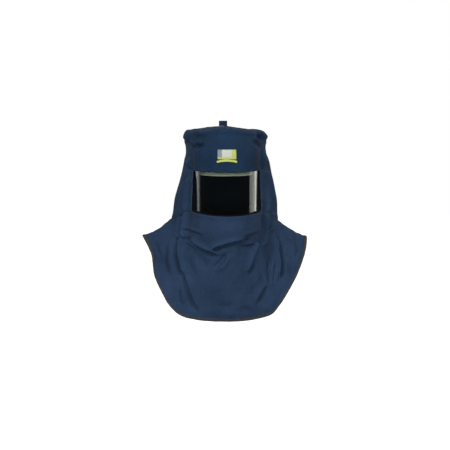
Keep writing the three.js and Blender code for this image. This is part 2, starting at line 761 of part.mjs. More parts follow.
// A plate that follows the brow. lowerEdge gives how far below its row each point is drawn down.
function browPlate(width, top, height, wall, drawnDown = () => 0) {
  const xs = steps(-width / 2, width / 2, plateColumns);
  const zs = steps(top, top - height, plateRows);
  const layer = (lift) => zs.map((z) => xs.map((x) => {
    const place = onBrow(x + trimShift, z - drawnDown(x));
    return skin(...place).addScaledVector(skinNormal(...place), lift);
  }));
  return shellBetween(layer(badgeStandOff + wall), layer(badgeStandOff));
}

const badgeTop = -badgeDrop;
const lipTop = badgeTop - badgeHeight - seatGap;

// Colours and finishes, then the named pieces
const finish = (color, roughness, extra = {}) => {
  return new THREE.MeshStandardMaterial({ color, roughness, metalness: 0, ...extra });
};
const navyCotton = finish(0x22344e, 0.95);
const greyTape = finish(0x4c4a4c, 0.9);
const blackCloth = finish(0x0b0c0e, 0.95);
const clearSheet = finish(0x9fb59a, 0.08, { transparent: true, opacity: 0.35 });
const whiteCap = finish(0xdfe3da, 0.4);
const blackMoulding = finish(0x17181a, 0.5);
const greyLabel = finish(0xa9adb4, 0.45);
const yellowLabel = finish(0xd6df3c, 0.4);

const hood = new THREE.Group();

function addPiece(name, geometry, material) {
  geometry.computeVertexNormals();
  const mesh = new THREE.Mesh(geometry, material);
  mesh.name = name;
  hood.add(mesh);
}

const lipArching = (x) => lipArch * (2 * x / lipWidth) ** 2;
const aroundBack = stationsRound.length;

addPiece('crown_panel', crownPanel(), navyCotton);
addPiece('brow_panel', clothPanel(-seamStation, seamStation, browRows), navyCotton);
addPiece('cheek_strip_left', clothPanel(edgeStation, seamStation, windowRows), navyCotton);
addPiece('cheek_strip_right', clothPanel(-seamStation, -edgeStation, windowRows), navyCotton);
addPiece('side_panel_left', clothPanel(seamStation, rearStation, hoodRows), navyCotton);
addPiece('side_panel_right', clothPanel(-rearStation, -seamStation, hoodRows), navyCotton);
addPiece('back_panel', clothPanel(rearStation, aroundBack - rearStation, hoodRows), navyCotton);
addPiece('bib_front', clothPanel(-sideStation, sideStation, bibRows, true), navyCotton);
addPiece('cape_back', clothPanel(sideStation, aroundBack - sideStation, capeRows, true), navyCotton);
addPiece('hem_binding', hemBinding(), greyTape);
addPiece('window_surround', windowSurround(), blackCloth);
addPiece('face_shield', faceShield(), clearSheet);
addPiece('shield_carrier', shieldCarrier(), blackMoulding);
addPiece('hard_cap', hardCap(), whiteCap);
addPiece('cap_straps', capStraps(), blackMoulding);
addPiece('hang_loop', hangLoop(), navyCotton);
addPiece('badge_plate', browPlate(badgeWidth, badgeTop, badgeHeight, badgeWall), greyLabel);
addPiece('badge_lip', browPlate(lipWidth, lipTop, lipHeight, lipWall, lipArching), yellowLabel);

export default hood;
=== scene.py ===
import math

import bmesh
import bpy
import numpy as np
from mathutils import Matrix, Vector


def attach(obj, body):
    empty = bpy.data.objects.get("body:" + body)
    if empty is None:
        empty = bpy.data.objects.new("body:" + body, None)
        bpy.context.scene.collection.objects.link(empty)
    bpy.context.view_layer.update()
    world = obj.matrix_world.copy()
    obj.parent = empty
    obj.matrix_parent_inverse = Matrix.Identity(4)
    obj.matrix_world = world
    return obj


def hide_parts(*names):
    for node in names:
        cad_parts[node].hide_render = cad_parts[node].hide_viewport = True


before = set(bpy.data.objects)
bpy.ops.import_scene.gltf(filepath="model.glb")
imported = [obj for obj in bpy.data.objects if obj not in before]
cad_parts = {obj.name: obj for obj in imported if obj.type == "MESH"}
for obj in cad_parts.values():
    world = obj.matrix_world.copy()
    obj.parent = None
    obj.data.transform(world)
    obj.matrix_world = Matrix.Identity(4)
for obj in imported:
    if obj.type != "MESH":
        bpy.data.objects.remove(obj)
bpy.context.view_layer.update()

# Cap straps. Two crossed webbing straps and a headband carry the hood, of black woven nylon and
# polyethylene. They are riveted together, and four tabs hold the band in the cap's rim.
# Lengths are in millimetres up to the studio, and each mesh is made in metres.
STRAP_WIDTH = 20.0
STRAP_WALL = 2.0
STRAP_ROUNDING = 0.9
BAND_HALF_WIDTH = 79.0
BAND_HALF_LENGTH = 97.0
BAND_HEIGHT = 26.0
BAND_LIFT = 3.0
TAB_CLEAR = 0.4
TAB_ROUNDING = 1.6
RIVET_RADIUS = 4.2
RIVET_HEIGHT = 1.8
RIVET_INSET = 2.0
CAP_RIM_DROP = 99.0
CAP_TOP = 42.6
CAP_FULLNESS = 2.5
CAP_WALL = 2.6
CAP_HALF_WIDTH = 103.0
CAP_FRONT = 126.0
CAP_BACK = 133.0
CAP_FACETS = 28


def new_piece(name, verts, faces, uv, flat=(), worn=None):
    """A piece from points in millimetres, smooth apart from its numbered flat faces, with its UV and wear."""
    mesh = bpy.data.meshes.new(name)
    mesh.from_pydata((np.asarray(verts) * 0.001).tolist(), [], [tuple(f) for f in faces])
    smooth = np.ones(len(mesh.polygons), dtype=bool)
    smooth[list(flat)] = False
    mesh.polygons.foreach_set("use_smooth", smooth)
    corner = np.zeros(len(mesh.loops), dtype=np.int64)
    mesh.loops.foreach_get("vertex_index", corner)
    mesh.uv_layers.new(name="weave").data.foreach_set("uv", np.asarray(uv, float)[corner].ravel())
    if worn is not None:
        attribute = mesh.attributes.new("worn", "FLOAT", "POINT")
        attribute.data.foreach_set("value", np.asarray(worn, float).ravel())
    mesh.update()
    piece = bpy.data.objects.new(name, mesh)
    bpy.context.collection.objects.link(piece)
    return piece


def grid_faces(rows, columns, ring_rows=False, ring_columns=False):
    """Faces between rows and columns of points, outward where columns run to +X as rows run down in front."""
    index = np.arange(rows * columns).reshape(rows, columns)
    if ring_rows:
        index = np.concatenate([index, index[:1]])
    if ring_columns:
        index = np.concatenate([index, index[:, :1]], axis=1)
    faces = np.stack([index[:-1, :-1], index[1:, :-1], index[1:, 1:], index[:-1, 1:]], -1)
    return faces.reshape(-1, 4)


def rounded_bar(width, thickness, radius, corner=4):
    """The outline of a flat bar with rounded edges, as (across, out) pairs, anticlockwise."""
    radius = min(radius, thickness / 2 - 1e-3, width / 2 - 1e-3)
    outline = []
    for k, (sx, sy) in enumerate(((1, 1), (-1, 1), (-1, -1), (1, -1))):
        for t in np.linspace(0, math.pi / 2, corner):
            angle = t + k * math.pi / 2
            outline.append((sx * (width / 2 - radius) + radius * math.cos(angle),
                            sy * (thickness / 2 - radius) + radius * math.sin(angle)))
        if k in (0, 2):  # two points inside each broad side, which keep its shading flat
            inner = sx * (width / 2 - radius - min(1.0, width / 8))
            outline += [(inner, sy * thickness / 2), (-inner, sy * thickness / 2)]
    return outline


def swept(path, across, outline, closed=False):
    """Points, faces and UV of a bar swept along a path. across is the bar's width direction."""
    path, across = np.asarray(path, float), np.asarray(across, float)
    if across.ndim == 1:
        across = np.tile(across, (len(path), 1))
    ahead = (np.roll(path, -1, 0) - np.roll(path, 1, 0)) if closed else np.gradient(path, axis=0)
    ahead /= np.linalg.norm(ahead, axis=1, keepdims=True)
    across = across - ahead * (across * ahead).sum(1, keepdims=True)
    across /= np.linalg.norm(across, axis=1, keepdims=True)
    out = np.cross(ahead, across)
    outline = np.asarray(outline)
    verts = path[:, None] + across[:, None] * outline[None, :, :1] + out[:, None] * outline[None, :, 1:]
    faces = grid_faces(len(path), len(outline), ring_rows=closed, ring_columns=True)[:, ::-1].tolist()
    if not closed:
        last = (len(path) - 1) * len(outline)
        faces += [list(range(len(outline)))[::-1], list(range(last, last + len(outline)))]
    along = np.concatenate([[0], np.cumsum(np.linalg.norm(np.diff(path, axis=0), axis=1))])
    girth = np.concatenate([[0], np.cumsum(np.linalg.norm(np.diff(outline, axis=0), axis=1))])
    uv = np.stack(np.meshgrid(girth, along), -1).reshape(-1, 2)
    return verts.reshape(-1, 3), faces, uv


def together(parts):
    """Several (points, faces, uv) as one."""
    verts, faces, uv, count = [], [], [], 0
    for part_verts, part_faces, part_uv in parts:
        verts.append(part_verts)
        uv.append(part_uv)
        faces += [[k + count for k in face] for face in part_faces]
        count += len(part_verts)
    return np.concatenate(verts), faces, np.concatenate(uv)


def domed(centre, out, radius, height, around=16):
    """A low dome, such as a rivet's, standing on a face at centre."""
    out = np.asarray(out, float)
    side = np.cross(out, (0, 0, 1) if abs(out[2]) < 0.9 else (1, 0, 0))
    side /= np.linalg.norm(side)
    up = np.cross(out, side)
    angles = np.linspace(0, 2 * math.pi, around + 1)[:-1]
    circle = np.cos(angles)[:, None] * side + np.sin(angles)[:, None] * up
    rings = [(1, -0.2), (1, 0.45), (0.86, 0.8), (0.5, 0.97), (0.08, 1)]
    verts = np.concatenate([centre + circle * radius * r + out * height * h for r, h in rings])
    last = (len(rings) - 1) * around
    faces = grid_faces(len(rings), around, ring_columns=True).tolist()
    return verts, faces + [list(range(around)), list(range(last, last + around))], verts[:, :2]


def outward(piece):
    """Turns every face of a piece made of plain closed bodies outwards."""
    body = bmesh.new()
    body.from_mesh(piece.data)
    bmesh.ops.recalc_face_normals(body, faces=body.faces)
    body.to_mesh(piece.data)
    body.free()


def joined_piece(name, parts):
    """One piece from several closed bodies."""
    piece = new_piece(name, *together(parts))
    outward(piece)
    return piece


class Finish:
    """A material under construction: its nodes, with short calls to add and join them."""

    def __init__(self, name):
        self.material = bpy.data.materials.new(name)
        self.material.use_nodes = True
        self.tree = self.material.node_tree
        self.shader = self.tree.nodes["Principled BSDF"]

    def add(self, kind, values=None, **settings):
        """A node with its settings, and with a number or another node's socket in each named input."""
        node = self.tree.nodes.new("ShaderNode" + kind)
        for key, value in settings.items():
            setattr(node, key, value)
        for key, value in (values or {}).items():
            if isinstance(value, bpy.types.NodeSocket):
                self.tree.links.new(value, node.inputs[key])
            else:
                node.inputs[key].default_value = value
        return node

    def set(self, **values):
        """Puts plain values on the shader's own sockets."""
        for key, value in values.items():
            self.shader.inputs[key.replace("_", " ")].default_value = value

    def join(self, socket, name):
        """Leads a socket to one of the shader's inputs."""
        self.tree.links.new(socket, self.shader.inputs[name])

    def blend(self, share, first, second):
        """A colour between two."""
        node = self.add("Mix", data_type="RGBA")
        for socket, value in ((node.inputs[0], share), (node.inputs[6], first), (node.inputs[7], second)):
            if isinstance(value, bpy.types.NodeSocket):
                self.tree.links.new(value, socket)
            else:
                socket.default_value = value
        return node.outputs[2]

    def ramp(self, value, low, high, to_low, to_high):
        """A value carried over from one range to another."""
        return self.add("MapRange", {"Value": value, "From Min": low, "From Max": high,
                                     "To Min": to_low, "To Max": to_high}).outputs[0]

    def noise(self, vector, scale, detail=3.0):
        return self.add("TexNoise", {"Vector": vector, "Scale": scale, "Detail": detail}).outputs[0]

    def place(self):
        """The place on the piece itself, in metres."""
        return self.add("TexCoord").outputs["Object"]

    def bump(self, height, strength, distance, below=None):
        """A relief, on top of the one below where there is one."""
        values = {"Height": height, "Strength": strength, "Distance": distance}
        if below is not None:
            values["Normal"] = below
        return self.add("Bump", values).outputs[0]


WAVE_SCALE = 0.314  # a wave texture of this scale repeats at every unit of length


def webbing_finish(name, color, rib=1.6, sheen=0.05):
    """Woven narrow fabric: ribs across and yarns along, from the piece's own UV in millimetres."""
    finish = Finish(name)
    weave = finish.add("UVMap", uv_map="weave").outputs[0]
    ribs = finish.add("TexWave", {"Vector": weave, "Scale": WAVE_SCALE / rib, "Distortion": 0.6},
                      bands_direction="Y").outputs[0]
    yarns = finish.add("TexWave", {"Vector": weave, "Scale": WAVE_SCALE / (rib * 0.75), "Distortion": 0.4},
                       bands_direction="X").outputs[0]
    both = finish.add("Math", {0: ribs, 1: yarns}, operation="MULTIPLY").outputs[0]
    cloudy = finish.noise(finish.place(), 60)
    lighter = tuple(c * 1.5 for c in color[:3]) + (1,)
    finish.join(finish.blend(finish.ramp(cloudy, 0.3, 0.7, 0, 0.6), color, lighter), "Base Color")
    finish.join(finish.bump(both, 0.6, 0.0003), "Normal")
    finish.set(Roughness=0.9, Sheen_Weight=sheen, Sheen_Roughness=0.5, Specular_IOR_Level=0.15)
    return finish.material


def dress(piece, material, node):
    """Gives a piece its material, hides the node of the solid part that it stands for, and hangs it on the
    root body.
    """
    piece.data.materials.append(material)
    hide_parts(node)
    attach(piece, "root")


def cap_half_width(z, wall):
    """Half width of the cap's shell at a height, at its outer or inner face."""
    share = (z + CAP_RIM_DROP) / (CAP_TOP - wall + CAP_RIM_DROP)
    return (CAP_HALF_WIDTH - wall) * (1 - share**CAP_FULLNESS) ** (1 / CAP_FULLNESS)


band_middle = -CAP_RIM_DROP + BAND_LIFT + BAND_HEIGHT / 2
band_turn = np.linspace(0, 2 * math.pi, 97)[:-1]
band_path = np.stack([(BAND_HALF_WIDTH + STRAP_WALL / 2) * np.cos(band_turn),
                      (BAND_HALF_LENGTH + STRAP_WALL / 2) * np.sin(band_turn),
                      np.full_like(band_turn, band_middle)], -1)
band_outline = rounded_bar(BAND_HEIGHT, STRAP_WALL, STRAP_ROUNDING)
strap_parts = [swept(band_path, (0, 0, 1), band_outline, closed=True)]
arch_turn = np.linspace(math.pi, 0, 49)
for span, axis, lift in ((BAND_HALF_WIDTH, 0, 0.0), (BAND_HALF_LENGTH, 1, STRAP_WALL)):
    arch = np.zeros((len(arch_turn), 3))
    arch[:, axis] = (span + STRAP_WALL / 2 + lift) * np.cos(arch_turn)
    arch[:, 2] = (-band_middle + STRAP_WALL / 2 + lift) * np.sin(arch_turn) + band_middle
    width_way = (0, 1, 0) if axis == 0 else (1, 0, 0)
    strap_parts.append(swept(arch, width_way, rounded_bar(STRAP_WIDTH, STRAP_WALL, STRAP_ROUNDING)))
# The tabs reach to the cap's facets, which lie inside its round.
tab_wall = cap_half_width(band_middle + STRAP_WALL, CAP_WALL) * math.cos(math.pi / CAP_FACETS) ** 2
tab_front = tab_wall * (CAP_FRONT - CAP_WALL) / (CAP_HALF_WIDTH - CAP_WALL)
tab_back = tab_wall * (CAP_BACK - CAP_WALL) / (CAP_HALF_WIDTH - CAP_WALL)
for x, y, reach in ((1, 0, tab_wall), (-1, 0, tab_wall), (0, -1, tab_front), (0, 1, tab_back)):
    tab_start = (BAND_HALF_WIDTH if x else BAND_HALF_LENGTH) + STRAP_WALL / 2
    along = np.linspace(tab_start, reach - TAB_CLEAR, 8)
    tab_path = np.stack([x * along, y * along, np.full_like(along, band_middle)], -1)
    strap_parts.append(swept(tab_path, (-y, x, 0), rounded_bar(STRAP_WIDTH, 2 * STRAP_WALL, TAB_ROUNDING)))
    rivet_seat = tab_start - RIVET_INSET
    rivet_place = np.array([x * rivet_seat, y * rivet_seat, band_middle])
    strap_parts.append(domed(rivet_place, np.array([-x, -y, 0.0]), RIVET_RADIUS, RIVET_HEIGHT))
straps = joined_piece("suspension_straps", strap_parts)
dress(straps, webbing_finish("black_webbing", (0.012, 0.012, 0.013, 1)), "cap_straps")

# Hard cap. A white polyethylene shell 2.6 mm thick, injection-moulded in one with a short peak in front
# and a lug on each side. It carries the shield and keeps the cloth off it.
PEAK_REACH = 46.0
PEAK_HALF_ANGLE = math.radians(62)
PEAK_DROOP = 17.0
PEAK_WALL = 3.0
PEAK_BLUNTNESS = 0.7
PEAK_FAN = 0.5
SHIELD_TOP_DROP = 56.0
LUG_HEIGHT = 30.0
LUG_LENGTH = 34.0
LUG_STAND_OFF = 4.0
LUG_BEVEL = 1.2


def lerp(a, b, t):
    return a + (b - a) * t


def cap_points(heights, angles, wall):
    """Points of the cap's shell, at shares of its height and at angles from the front."""
    height, angle = np.meshgrid(heights, angles, indexing="ij")
    spread = (1 - height**CAP_FULLNESS) ** (1 / CAP_FULLNESS)
    length = np.where(np.cos(angle) > 0, CAP_FRONT, CAP_BACK) - wall
    return np.stack([(CAP_HALF_WIDTH - wall) * spread * np.sin(angle), -length * spread * np.cos(angle),
                     lerp(-CAP_RIM_DROP, CAP_TOP - wall, height)], -1)


def wall_faces(rows, columns, ring_columns=False):
    """Faces of a closed wall between an outer and an inner grid of points, and how many are rims."""
    face = grid_faces(rows, columns, ring_columns=ring_columns)
    index = np.arange(rows * columns).reshape(rows, columns)
    if ring_columns:
        index = np.concatenate([index, index[:, :1]], axis=1)
    under = index + rows * columns
    rims = [np.stack([index[0, :-1], index[0, 1:], under[0, 1:], under[0, :-1]], -1),
            np.stack([index[-1, :-1], under[-1, :-1], under[-1, 1:], index[-1, 1:]], -1)]
    if not ring_columns:
        rims += [np.stack([index[:-1, 0], under[:-1, 0], under[1:, 0], index[1:, 0]], -1),
                 np.stack([index[:-1, -1], index[1:, -1], under[1:, -1], under[:-1, -1]], -1)]
    rims = np.concatenate(rims)
    return np.concatenate([face, face[:, ::-1] + rows * columns, rims]), len(rims)


def wall_part(outer, inner, ring_columns=False):
    """Points, faces and UV of a closed wall between an outer and an inner grid of points."""
    faces, _ = wall_faces(*outer.shape[:2], ring_columns)
    verts = np.concatenate([outer.reshape(-1, 3), inner.reshape(-1, 3)])
    return verts, faces.tolist(), verts[:, :2]


def block(low, high, bevel):
    """A block with rounded long edges, between two corners."""
    low, high = np.minimum(low, high), np.maximum(low, high)
    middle, size = (low + high) / 2, high - low
    path = middle + np.linspace(-0.5, 0.5, 2)[:, None] * np.array([0, size[1], 0])
    return swept(path, (1, 0, 0), rounded_bar(size[0], size[2], bevel, 3))


def weld_poles(piece, thin=False):
    """Closes the fans of faces where points of a grid meet. thin takes out the slivers left beside them."""
    body = bmesh.new()
    body.from_mesh(piece.data)
    bmesh.ops.remove_doubles(body, verts=body.verts, dist=1e-6)
    if thin:
        bmesh.ops.dissolve_degenerate(body, edges=body.edges, dist=1e-7)
    body.to_mesh(piece.data)
    body.free()


def moulded_finish(name, color, roughness, subsurface=0.0):
    """Moulded plastic: a fine even grain and slight flow marks."""
    finish = Finish(name)
    place = finish.place()
    cloudy = finish.noise(place, 14)
    fine = finish.noise(place, 900, 2)
    darker = tuple(c * 0.82 for c in color[:3]) + (1,)
    finish.join(finish.blend(cloudy, darker, color), "Base Color")
    finish.join(finish.ramp(cloudy, 0.3, 0.7, roughness - 0.06, roughness + 0.08), "Roughness")
    finish.join(finish.bump(fine, 0.25, 0.0001), "Normal")
    finish.set(Subsurface_Weight=subsurface)
    return finish.material


cap_turn = np.linspace(0, 2 * math.pi, 129)[:-1]
cap_heights = np.sin(np.linspace(math.pi / 2, 0, 40)) ** 0.8
shell_outer, shell_inner = (cap_points(cap_heights, cap_turn, wall) for wall in (0, CAP_WALL))
brim_turn = np.linspace(-PEAK_HALF_ANGLE, PEAK_HALF_ANGLE, 61)
brim_reach = PEAK_REACH * np.maximum(0, np.cos(brim_turn * math.pi / 2 / PEAK_HALF_ANGLE)) ** PEAK_BLUNTNESS
brim_way = np.stack([np.sin(brim_turn) * PEAK_FAN, -np.ones_like(brim_turn), np.zeros_like(brim_turn)], -1)
brim_way /= np.linalg.norm(brim_way, axis=1, keepdims=True)
# how far out each row of the peak lies, and how much it is rounded off
brim_shares = [(share, 0.0) for share in np.linspace(0, 0.96, 12)] + [(0.99, 0.4), (1.0, 1.0)]


def brim_rows(lift, edge_round):
    """Rows of points from inside the cap's rim out to the peak's edge."""
    rows = [cap_points([0.0], brim_turn, CAP_WALL / 2)[0] + (0, 0, lift)]
    for share, rounding in brim_shares:
        rise = lift - PEAK_DROOP * share**2 + edge_round * rounding
        out = brim_way * brim_reach[:, None] * share
        rows.append(cap_points([0.0], brim_turn, 0)[0] + out + (0, 0, rise))
    return np.array(rows)


cap_parts = [wall_part(shell_outer, shell_inner, True)]
cap_parts.append(wall_part(brim_rows(PEAK_WALL, -1.0), brim_rows(0, 1.0)))
lug_low = -CAP_RIM_DROP + (CAP_RIM_DROP - SHIELD_TOP_DROP - LUG_HEIGHT) / 2
lug_face = CAP_HALF_WIDTH + LUG_STAND_OFF
lug_root = cap_half_width(lug_low + LUG_HEIGHT, CAP_WALL / 2)
for side in (-1, 1):
    cap_parts.append(block((side * lug_root, -LUG_LENGTH / 2, lug_low),
                           (side * lug_face, LUG_LENGTH / 2, lug_low + LUG_HEIGHT), LUG_BEVEL))
cap = new_piece("safety_cap", *together(cap_parts))
weld_poles(cap, thin=True)
outward(cap)
dress(cap, moulded_finish("white_polyethylene", (0.62, 0.64, 0.58, 1), 0.38, subsurface=0.05), "hard_cap")

# Shield carrier. A rail moulded of black nylon, bent round inside the shield's top, with a pad at each
# end that screws to one of the cap's lugs. It holds the sheet to its curve.
SHIELD_ROOM = 4.0
SHIELD_RADIUS = CAP_HALF_WIDTH + SHIELD_ROOM
SHIELD_WALL = 2.0
SHIELD_CENTRE = 88.0
SHIELD_BOTTOM_DROP = 286.0
SHIELD_ARC_END = math.radians(88)
SHIELD_LEG = 84.0
SHIELD_FLARE = math.radians(8)
SEAT_GAP = 0.3
CARRIER_WALL = 3.0
CARRIER_HEIGHT = 26.0
CARRIER_INSET = 3.0
CARRIER_ROUNDING = 1.2
PAD_BEVEL = 1.0


def u_path(radius, leg, arc_steps=96, leg_steps=14):
    """A U in plan at a radius: an arc in front and two flared legs, from the right leg's end."""
    angles = np.linspace(-SHIELD_ARC_END, SHIELD_ARC_END, arc_steps + 1)
    arc = np.stack([radius * np.sin(angles), -SHIELD_CENTRE - radius * np.cos(angles)], -1)
    reach = np.linspace(0, leg, leg_steps + 1)[1:, None]
    tip = arc[-1] + reach * (math.sin(SHIELD_FLARE), math.cos(SHIELD_FLARE))
    return np.concatenate([(tip * (-1, 1))[::-1], arc, tip])


def u_part(radius, wall, leg, low, high, rounding):
    """A bar of a rail's or sheet's section, bent to the U between two heights."""
    plan = u_path(radius - wall / 2, leg)
    path = np.concatenate([plan, np.full((len(plan), 1), (low + high) / 2)], axis=1)
    return swept(path, (0, 0, 1), rounded_bar(high - low, wall, rounding))


carrier_radius = SHIELD_RADIUS - SHIELD_WALL - SEAT_GAP
carrier_top = -SHIELD_TOP_DROP - CARRIER_INSET
carrier_leg = SHIELD_LEG + LUG_LENGTH / 4
carrier_low = carrier_top - CARRIER_HEIGHT
carrier_parts = [u_part(carrier_radius, CARRIER_WALL, carrier_leg, carrier_low, carrier_top,
                        CARRIER_ROUNDING)]
arc_end_y = -SHIELD_CENTRE - carrier_radius * math.cos(SHIELD_ARC_END)
pad_back = arc_end_y + carrier_leg * math.cos(SHIELD_FLARE) - CARRIER_WALL / 2
pad_front = max(pad_back - LUG_LENGTH / 2, -LUG_LENGTH / 2)


def shield_flank(y):
    """Half width of the shield's outer face beside a leg."""
    start = -SHIELD_CENTRE - SHIELD_RADIUS * math.cos(SHIELD_ARC_END)
    return SHIELD_RADIUS * math.sin(SHIELD_ARC_END) + (y - start) * math.tan(SHIELD_FLARE)


for side in (-1, 1):
    pad_face = shield_flank(pad_front) - SHIELD_WALL - SEAT_GAP - CARRIER_WALL / 2
    carrier_parts.append(block((side * (lug_face + SEAT_GAP), pad_front, carrier_low),
                               (side * pad_face, pad_back, carrier_top), PAD_BEVEL))
carrier = joined_piece("shield_rail", carrier_parts)
dress(carrier, moulded_finish("black_nylon", (0.014, 0.014, 0.015, 1), 0.48), "shield_carrier")

# Face shield. A 2 mm sheet of grey-green tinted polycarbonate, bent to a half circle with two flat legs
# and held by the carrier. Light scuffs show in its reflections.
SHIELD_ROUNDING = 0.5
shield = joined_piece("tinted_shield", [u_part(SHIELD_RADIUS, SHIELD_WALL, SHIELD_LEG, -SHIELD_BOTTOM_DROP,
                                               -SHIELD_TOP_DROP, SHIELD_ROUNDING)])
tint = Finish("tinted_polycarbonate")
stretched = tint.add("Mapping", {"Vector": tint.place(), "Scale": (1, 1, 14)}).outputs[0]
scuffs = tint.noise(stretched, 90, 2)
tint.join(tint.ramp(scuffs, 0.5, 0.8, 0.012, 0.05), "Roughness")
tint.set(Base_Color=(0.72, 0.82, 0.68, 1), IOR=1.5, Transmission_Weight=1.0)
dress(shield, tint.material, "face_shield")
shield.visible_shadow = False

# The sewn hood. Flame-resistant navy cotton, about 2 mm thick with its layers, cut as crown, brow, cheek
# strips, sides, back, bib and cape, and topstitched at every seam. All panels lie on one skin: rings of
# 24 stations from the middle of the crown down to the hem. Station 0 is in front, and they rise to +X.
CLOTH_WALL = 2.2
CROWN_CLEAR = 3.3
CROWN_RISE = CAP_TOP + CROWN_CLEAR + CLOTH_WALL
CROWN_HALF_WIDTH = 142.0
CROWN_SEAM_LIFT = 8.0
CROWN_CENTRE = 8.0
CROWN_LEAN = 12.0
BARREL_CLEAR = 4.0
BARREL_FRONT = SHIELD_CENTRE + SHIELD_RADIUS + BARREL_CLEAR + CLOTH_WALL
SIDE_SLACK = 14.5
BACK_DEPTH = 152.0
NECK_DROP = 275.0
NECK_HALF_WIDTH = 188.5
BROW_EDGE_DROP = 99.0
SILL_DROP = 238.0
SILL_BOW = 8.0
SIDE_BOW = 0.35
BACK_ROUNDNESS = 2.4
SHOULDER_HALF_WIDTH = 288.0
HEM_DROP = 602.0
HEM_FRONT = 172.0
HEM_BACK = 165.0
CHEST_TUCK = 12.0
FRONT_ANGLES = (0, 25, 50, 72, 88)
SIDE_SHARES = (0.4, 0.62, 0.82, 1.0)
BACK_ANGLES = (26, 50, 72, 90)
STATIONS = 24
# Rings of the upper hood. drop, lift in front, arch over the window and left sag are shares of the neck's
# drop. slack is a share of the room beside the shield, forward and back are shares of the depths, and right
# and left say how far the sides have widened from the crown to the neck.
UPPER_RINGS = (
    (-CROWN_SEAM_LIFT / NECK_DROP, 0.01, 0.052, -0.1, 0.8, 0.0, 0.13, 0.96, 0.0),  # crown seam
    (0.055, 0.0, 0.012, 0.25, 0.915, -0.15, 0.04, 0.985, 0.0),  # crown waist
    (0.165, 0.0, 0.0, 0.4, 0.99, -0.17, 0.08, 1.0, 0.0),  # brow
    (0.255, 0.0, 0.0, 0.42, 1.0, -0.03, 0.28, 1.0, 0.0),  # shield top
    (BROW_EDGE_DROP / NECK_DROP, 0.0, -0.011, 0.45, 1.0, 0.08, 0.43, 1.0, 0.0),  # brow edge
    (0.53, 0.0, 0.0, 0.62, 1.0, 0.33, 0.66, 0.995, 0.0),  # upper window
    (0.72, 0.03, 0.0, 0.82, 1.0, 0.66, 0.92, 0.985, 0.008),  # lower window
    # sill and neck
    (1.0, 1 - SILL_DROP / NECK_DROP, -SILL_BOW / NECK_DROP, 1.0, 0.997, 0.97, 1.02, 0.98, 0.03),
)
# radius and height shares of the crown's dome
CROWN_RINGS = ((0, 1), (0.3, 0.95), (0.6, 0.78), (0.83, 0.63), (0.94, 0.46), (0.99, 0.2))
# right, left, out, drop and left sag shares of the hem, from the front round to the back
HEM_STATIONS = (
    (0.0, 0.0, -1.0, 1.0, 0), (0.19, 0.19, -0.995, 0.998, 0), (0.38, 0.365, -0.965, 0.988, 0),
    (0.55, 0.52, -0.91, 0.968, 0), (0.675, 0.622, -0.84, 0.918, 0), (0.765, 0.73, -0.74, 0.848, 0),
    (0.855, 0.85, -0.57, 0.757, 0), (0.895, 0.965, -0.29, 0.643, 0.006), (1.0, 1.01, 0.0, 0.55, 0.015),
    (0.915, 0.93, 0.3, 0.64, 0.006), (0.8, 0.81, 0.62, 0.8, 0), (0.5, 0.5, 0.9, 0.94, 0),
    (0.0, 0.0, 1.0, 0.98, 0),
)
# spread, fall and tuck shares of the rings between neck and hem
CAPE_RINGS = ((0.08, 0.14, -0.35), (0.2, 0.3, 0.9), (0.38, 0.5, 0.8), (0.6, 0.7, 0.4), (0.81, 0.86, 0.1),
              (1, 1, 0))
TUCK_SHARES = (1, 0.98, 0.85, 0.6, 0.35, 0.15, 0.05, 0, 0, 0, 0, 0, 0)
# the rings and stations where panels end, how far the crown seam dips, and grid lines per ring and station
CROWN_SEAM, BROW_EDGE, NECK, HEM = 6, 10, 13, 19
EDGE, SEAM, SIDE, REAR = 4, 5, 8, 10
SEAM_DIP = 0.85
PER_LEVEL, PER_STATION = 28, 40


def step(a, b, value):
    """A smooth change from 0 at a to 1 at b."""
    t = np.clip((value - a) / (b - a), 0, 1)
    return t * t * (3 - 2 * t)


def upper_point(ring, station, side):
    """A control point of the upper hood, side being 1 towards +X and -1 towards -X."""
    drop, lift, arch, slack, forward, right, left, back, sag = ring
    sag = sag if side > 0 else 0.0
    half = lerp(CROWN_HALF_WIDTH, NECK_HALF_WIDTH, left if side > 0 else right)
    edge = SHIELD_RADIUS + SIDE_SLACK * slack
    front, centre = BARREL_FRONT * forward, SHIELD_CENTRE * forward
    if station <= EDGE:
        angle = math.radians(FRONT_ANGLES[station])
        level = drop - lift - arch * math.cos(angle) ** 2
        return side * edge * math.sin(angle), -centre - (front - centre) * math.cos(angle), -level * NECK_DROP
    if station <= SIDE:
        share = SIDE_SHARES[station - SEAM]
        sideways = lerp(share, math.sin(share * math.pi / 2), SIDE_BOW)
        backward = lerp(share, 1 - math.cos(share * math.pi / 2), SIDE_BOW)
        level = lerp(drop - lift, drop + sag, share * share * (3 - 2 * share))
        return side * lerp(edge, half, sideways), -centre * (1 - backward), -level * NECK_DROP
    angle = math.radians(BACK_ANGLES[station - SIDE - 1])
    power = 2 / BACK_ROUNDNESS
    across = half * max(0.0, math.cos(angle)) ** power
    level = drop + sag * math.cos(angle)
    return side * across, BACK_DEPTH * back * math.sin(angle) ** power, -level * NECK_DROP


def crown_point(ring, station, side):
    radius, height = ring
    seam = upper_point(UPPER_RINGS[0], station, side)
    x, y = lerp(-CROWN_LEAN, seam[0], radius), lerp(-CROWN_CENTRE, seam[1], radius)
    return x, y, lerp(seam[2], CROWN_RISE, height)


def cape_point(ring, station, side):
    spread, fall, tuck = ring
    neck = upper_point(UPPER_RINGS[-1], station, side)
    right, left, out, drop, sag = HEM_STATIONS[station]
    drop += sag if side > 0 else 0.0
    depth = HEM_FRONT if out < 0 else HEM_BACK
    across = (left if side > 0 else -right) * SHOULDER_HALF_WIDTH
    y = lerp(neck[1], out * depth, spread) + CHEST_TUCK * tuck * TUCK_SHARES[station]
    return lerp(neck[0], across, spread), y, lerp(neck[2], -drop * HEM_DROP, fall)


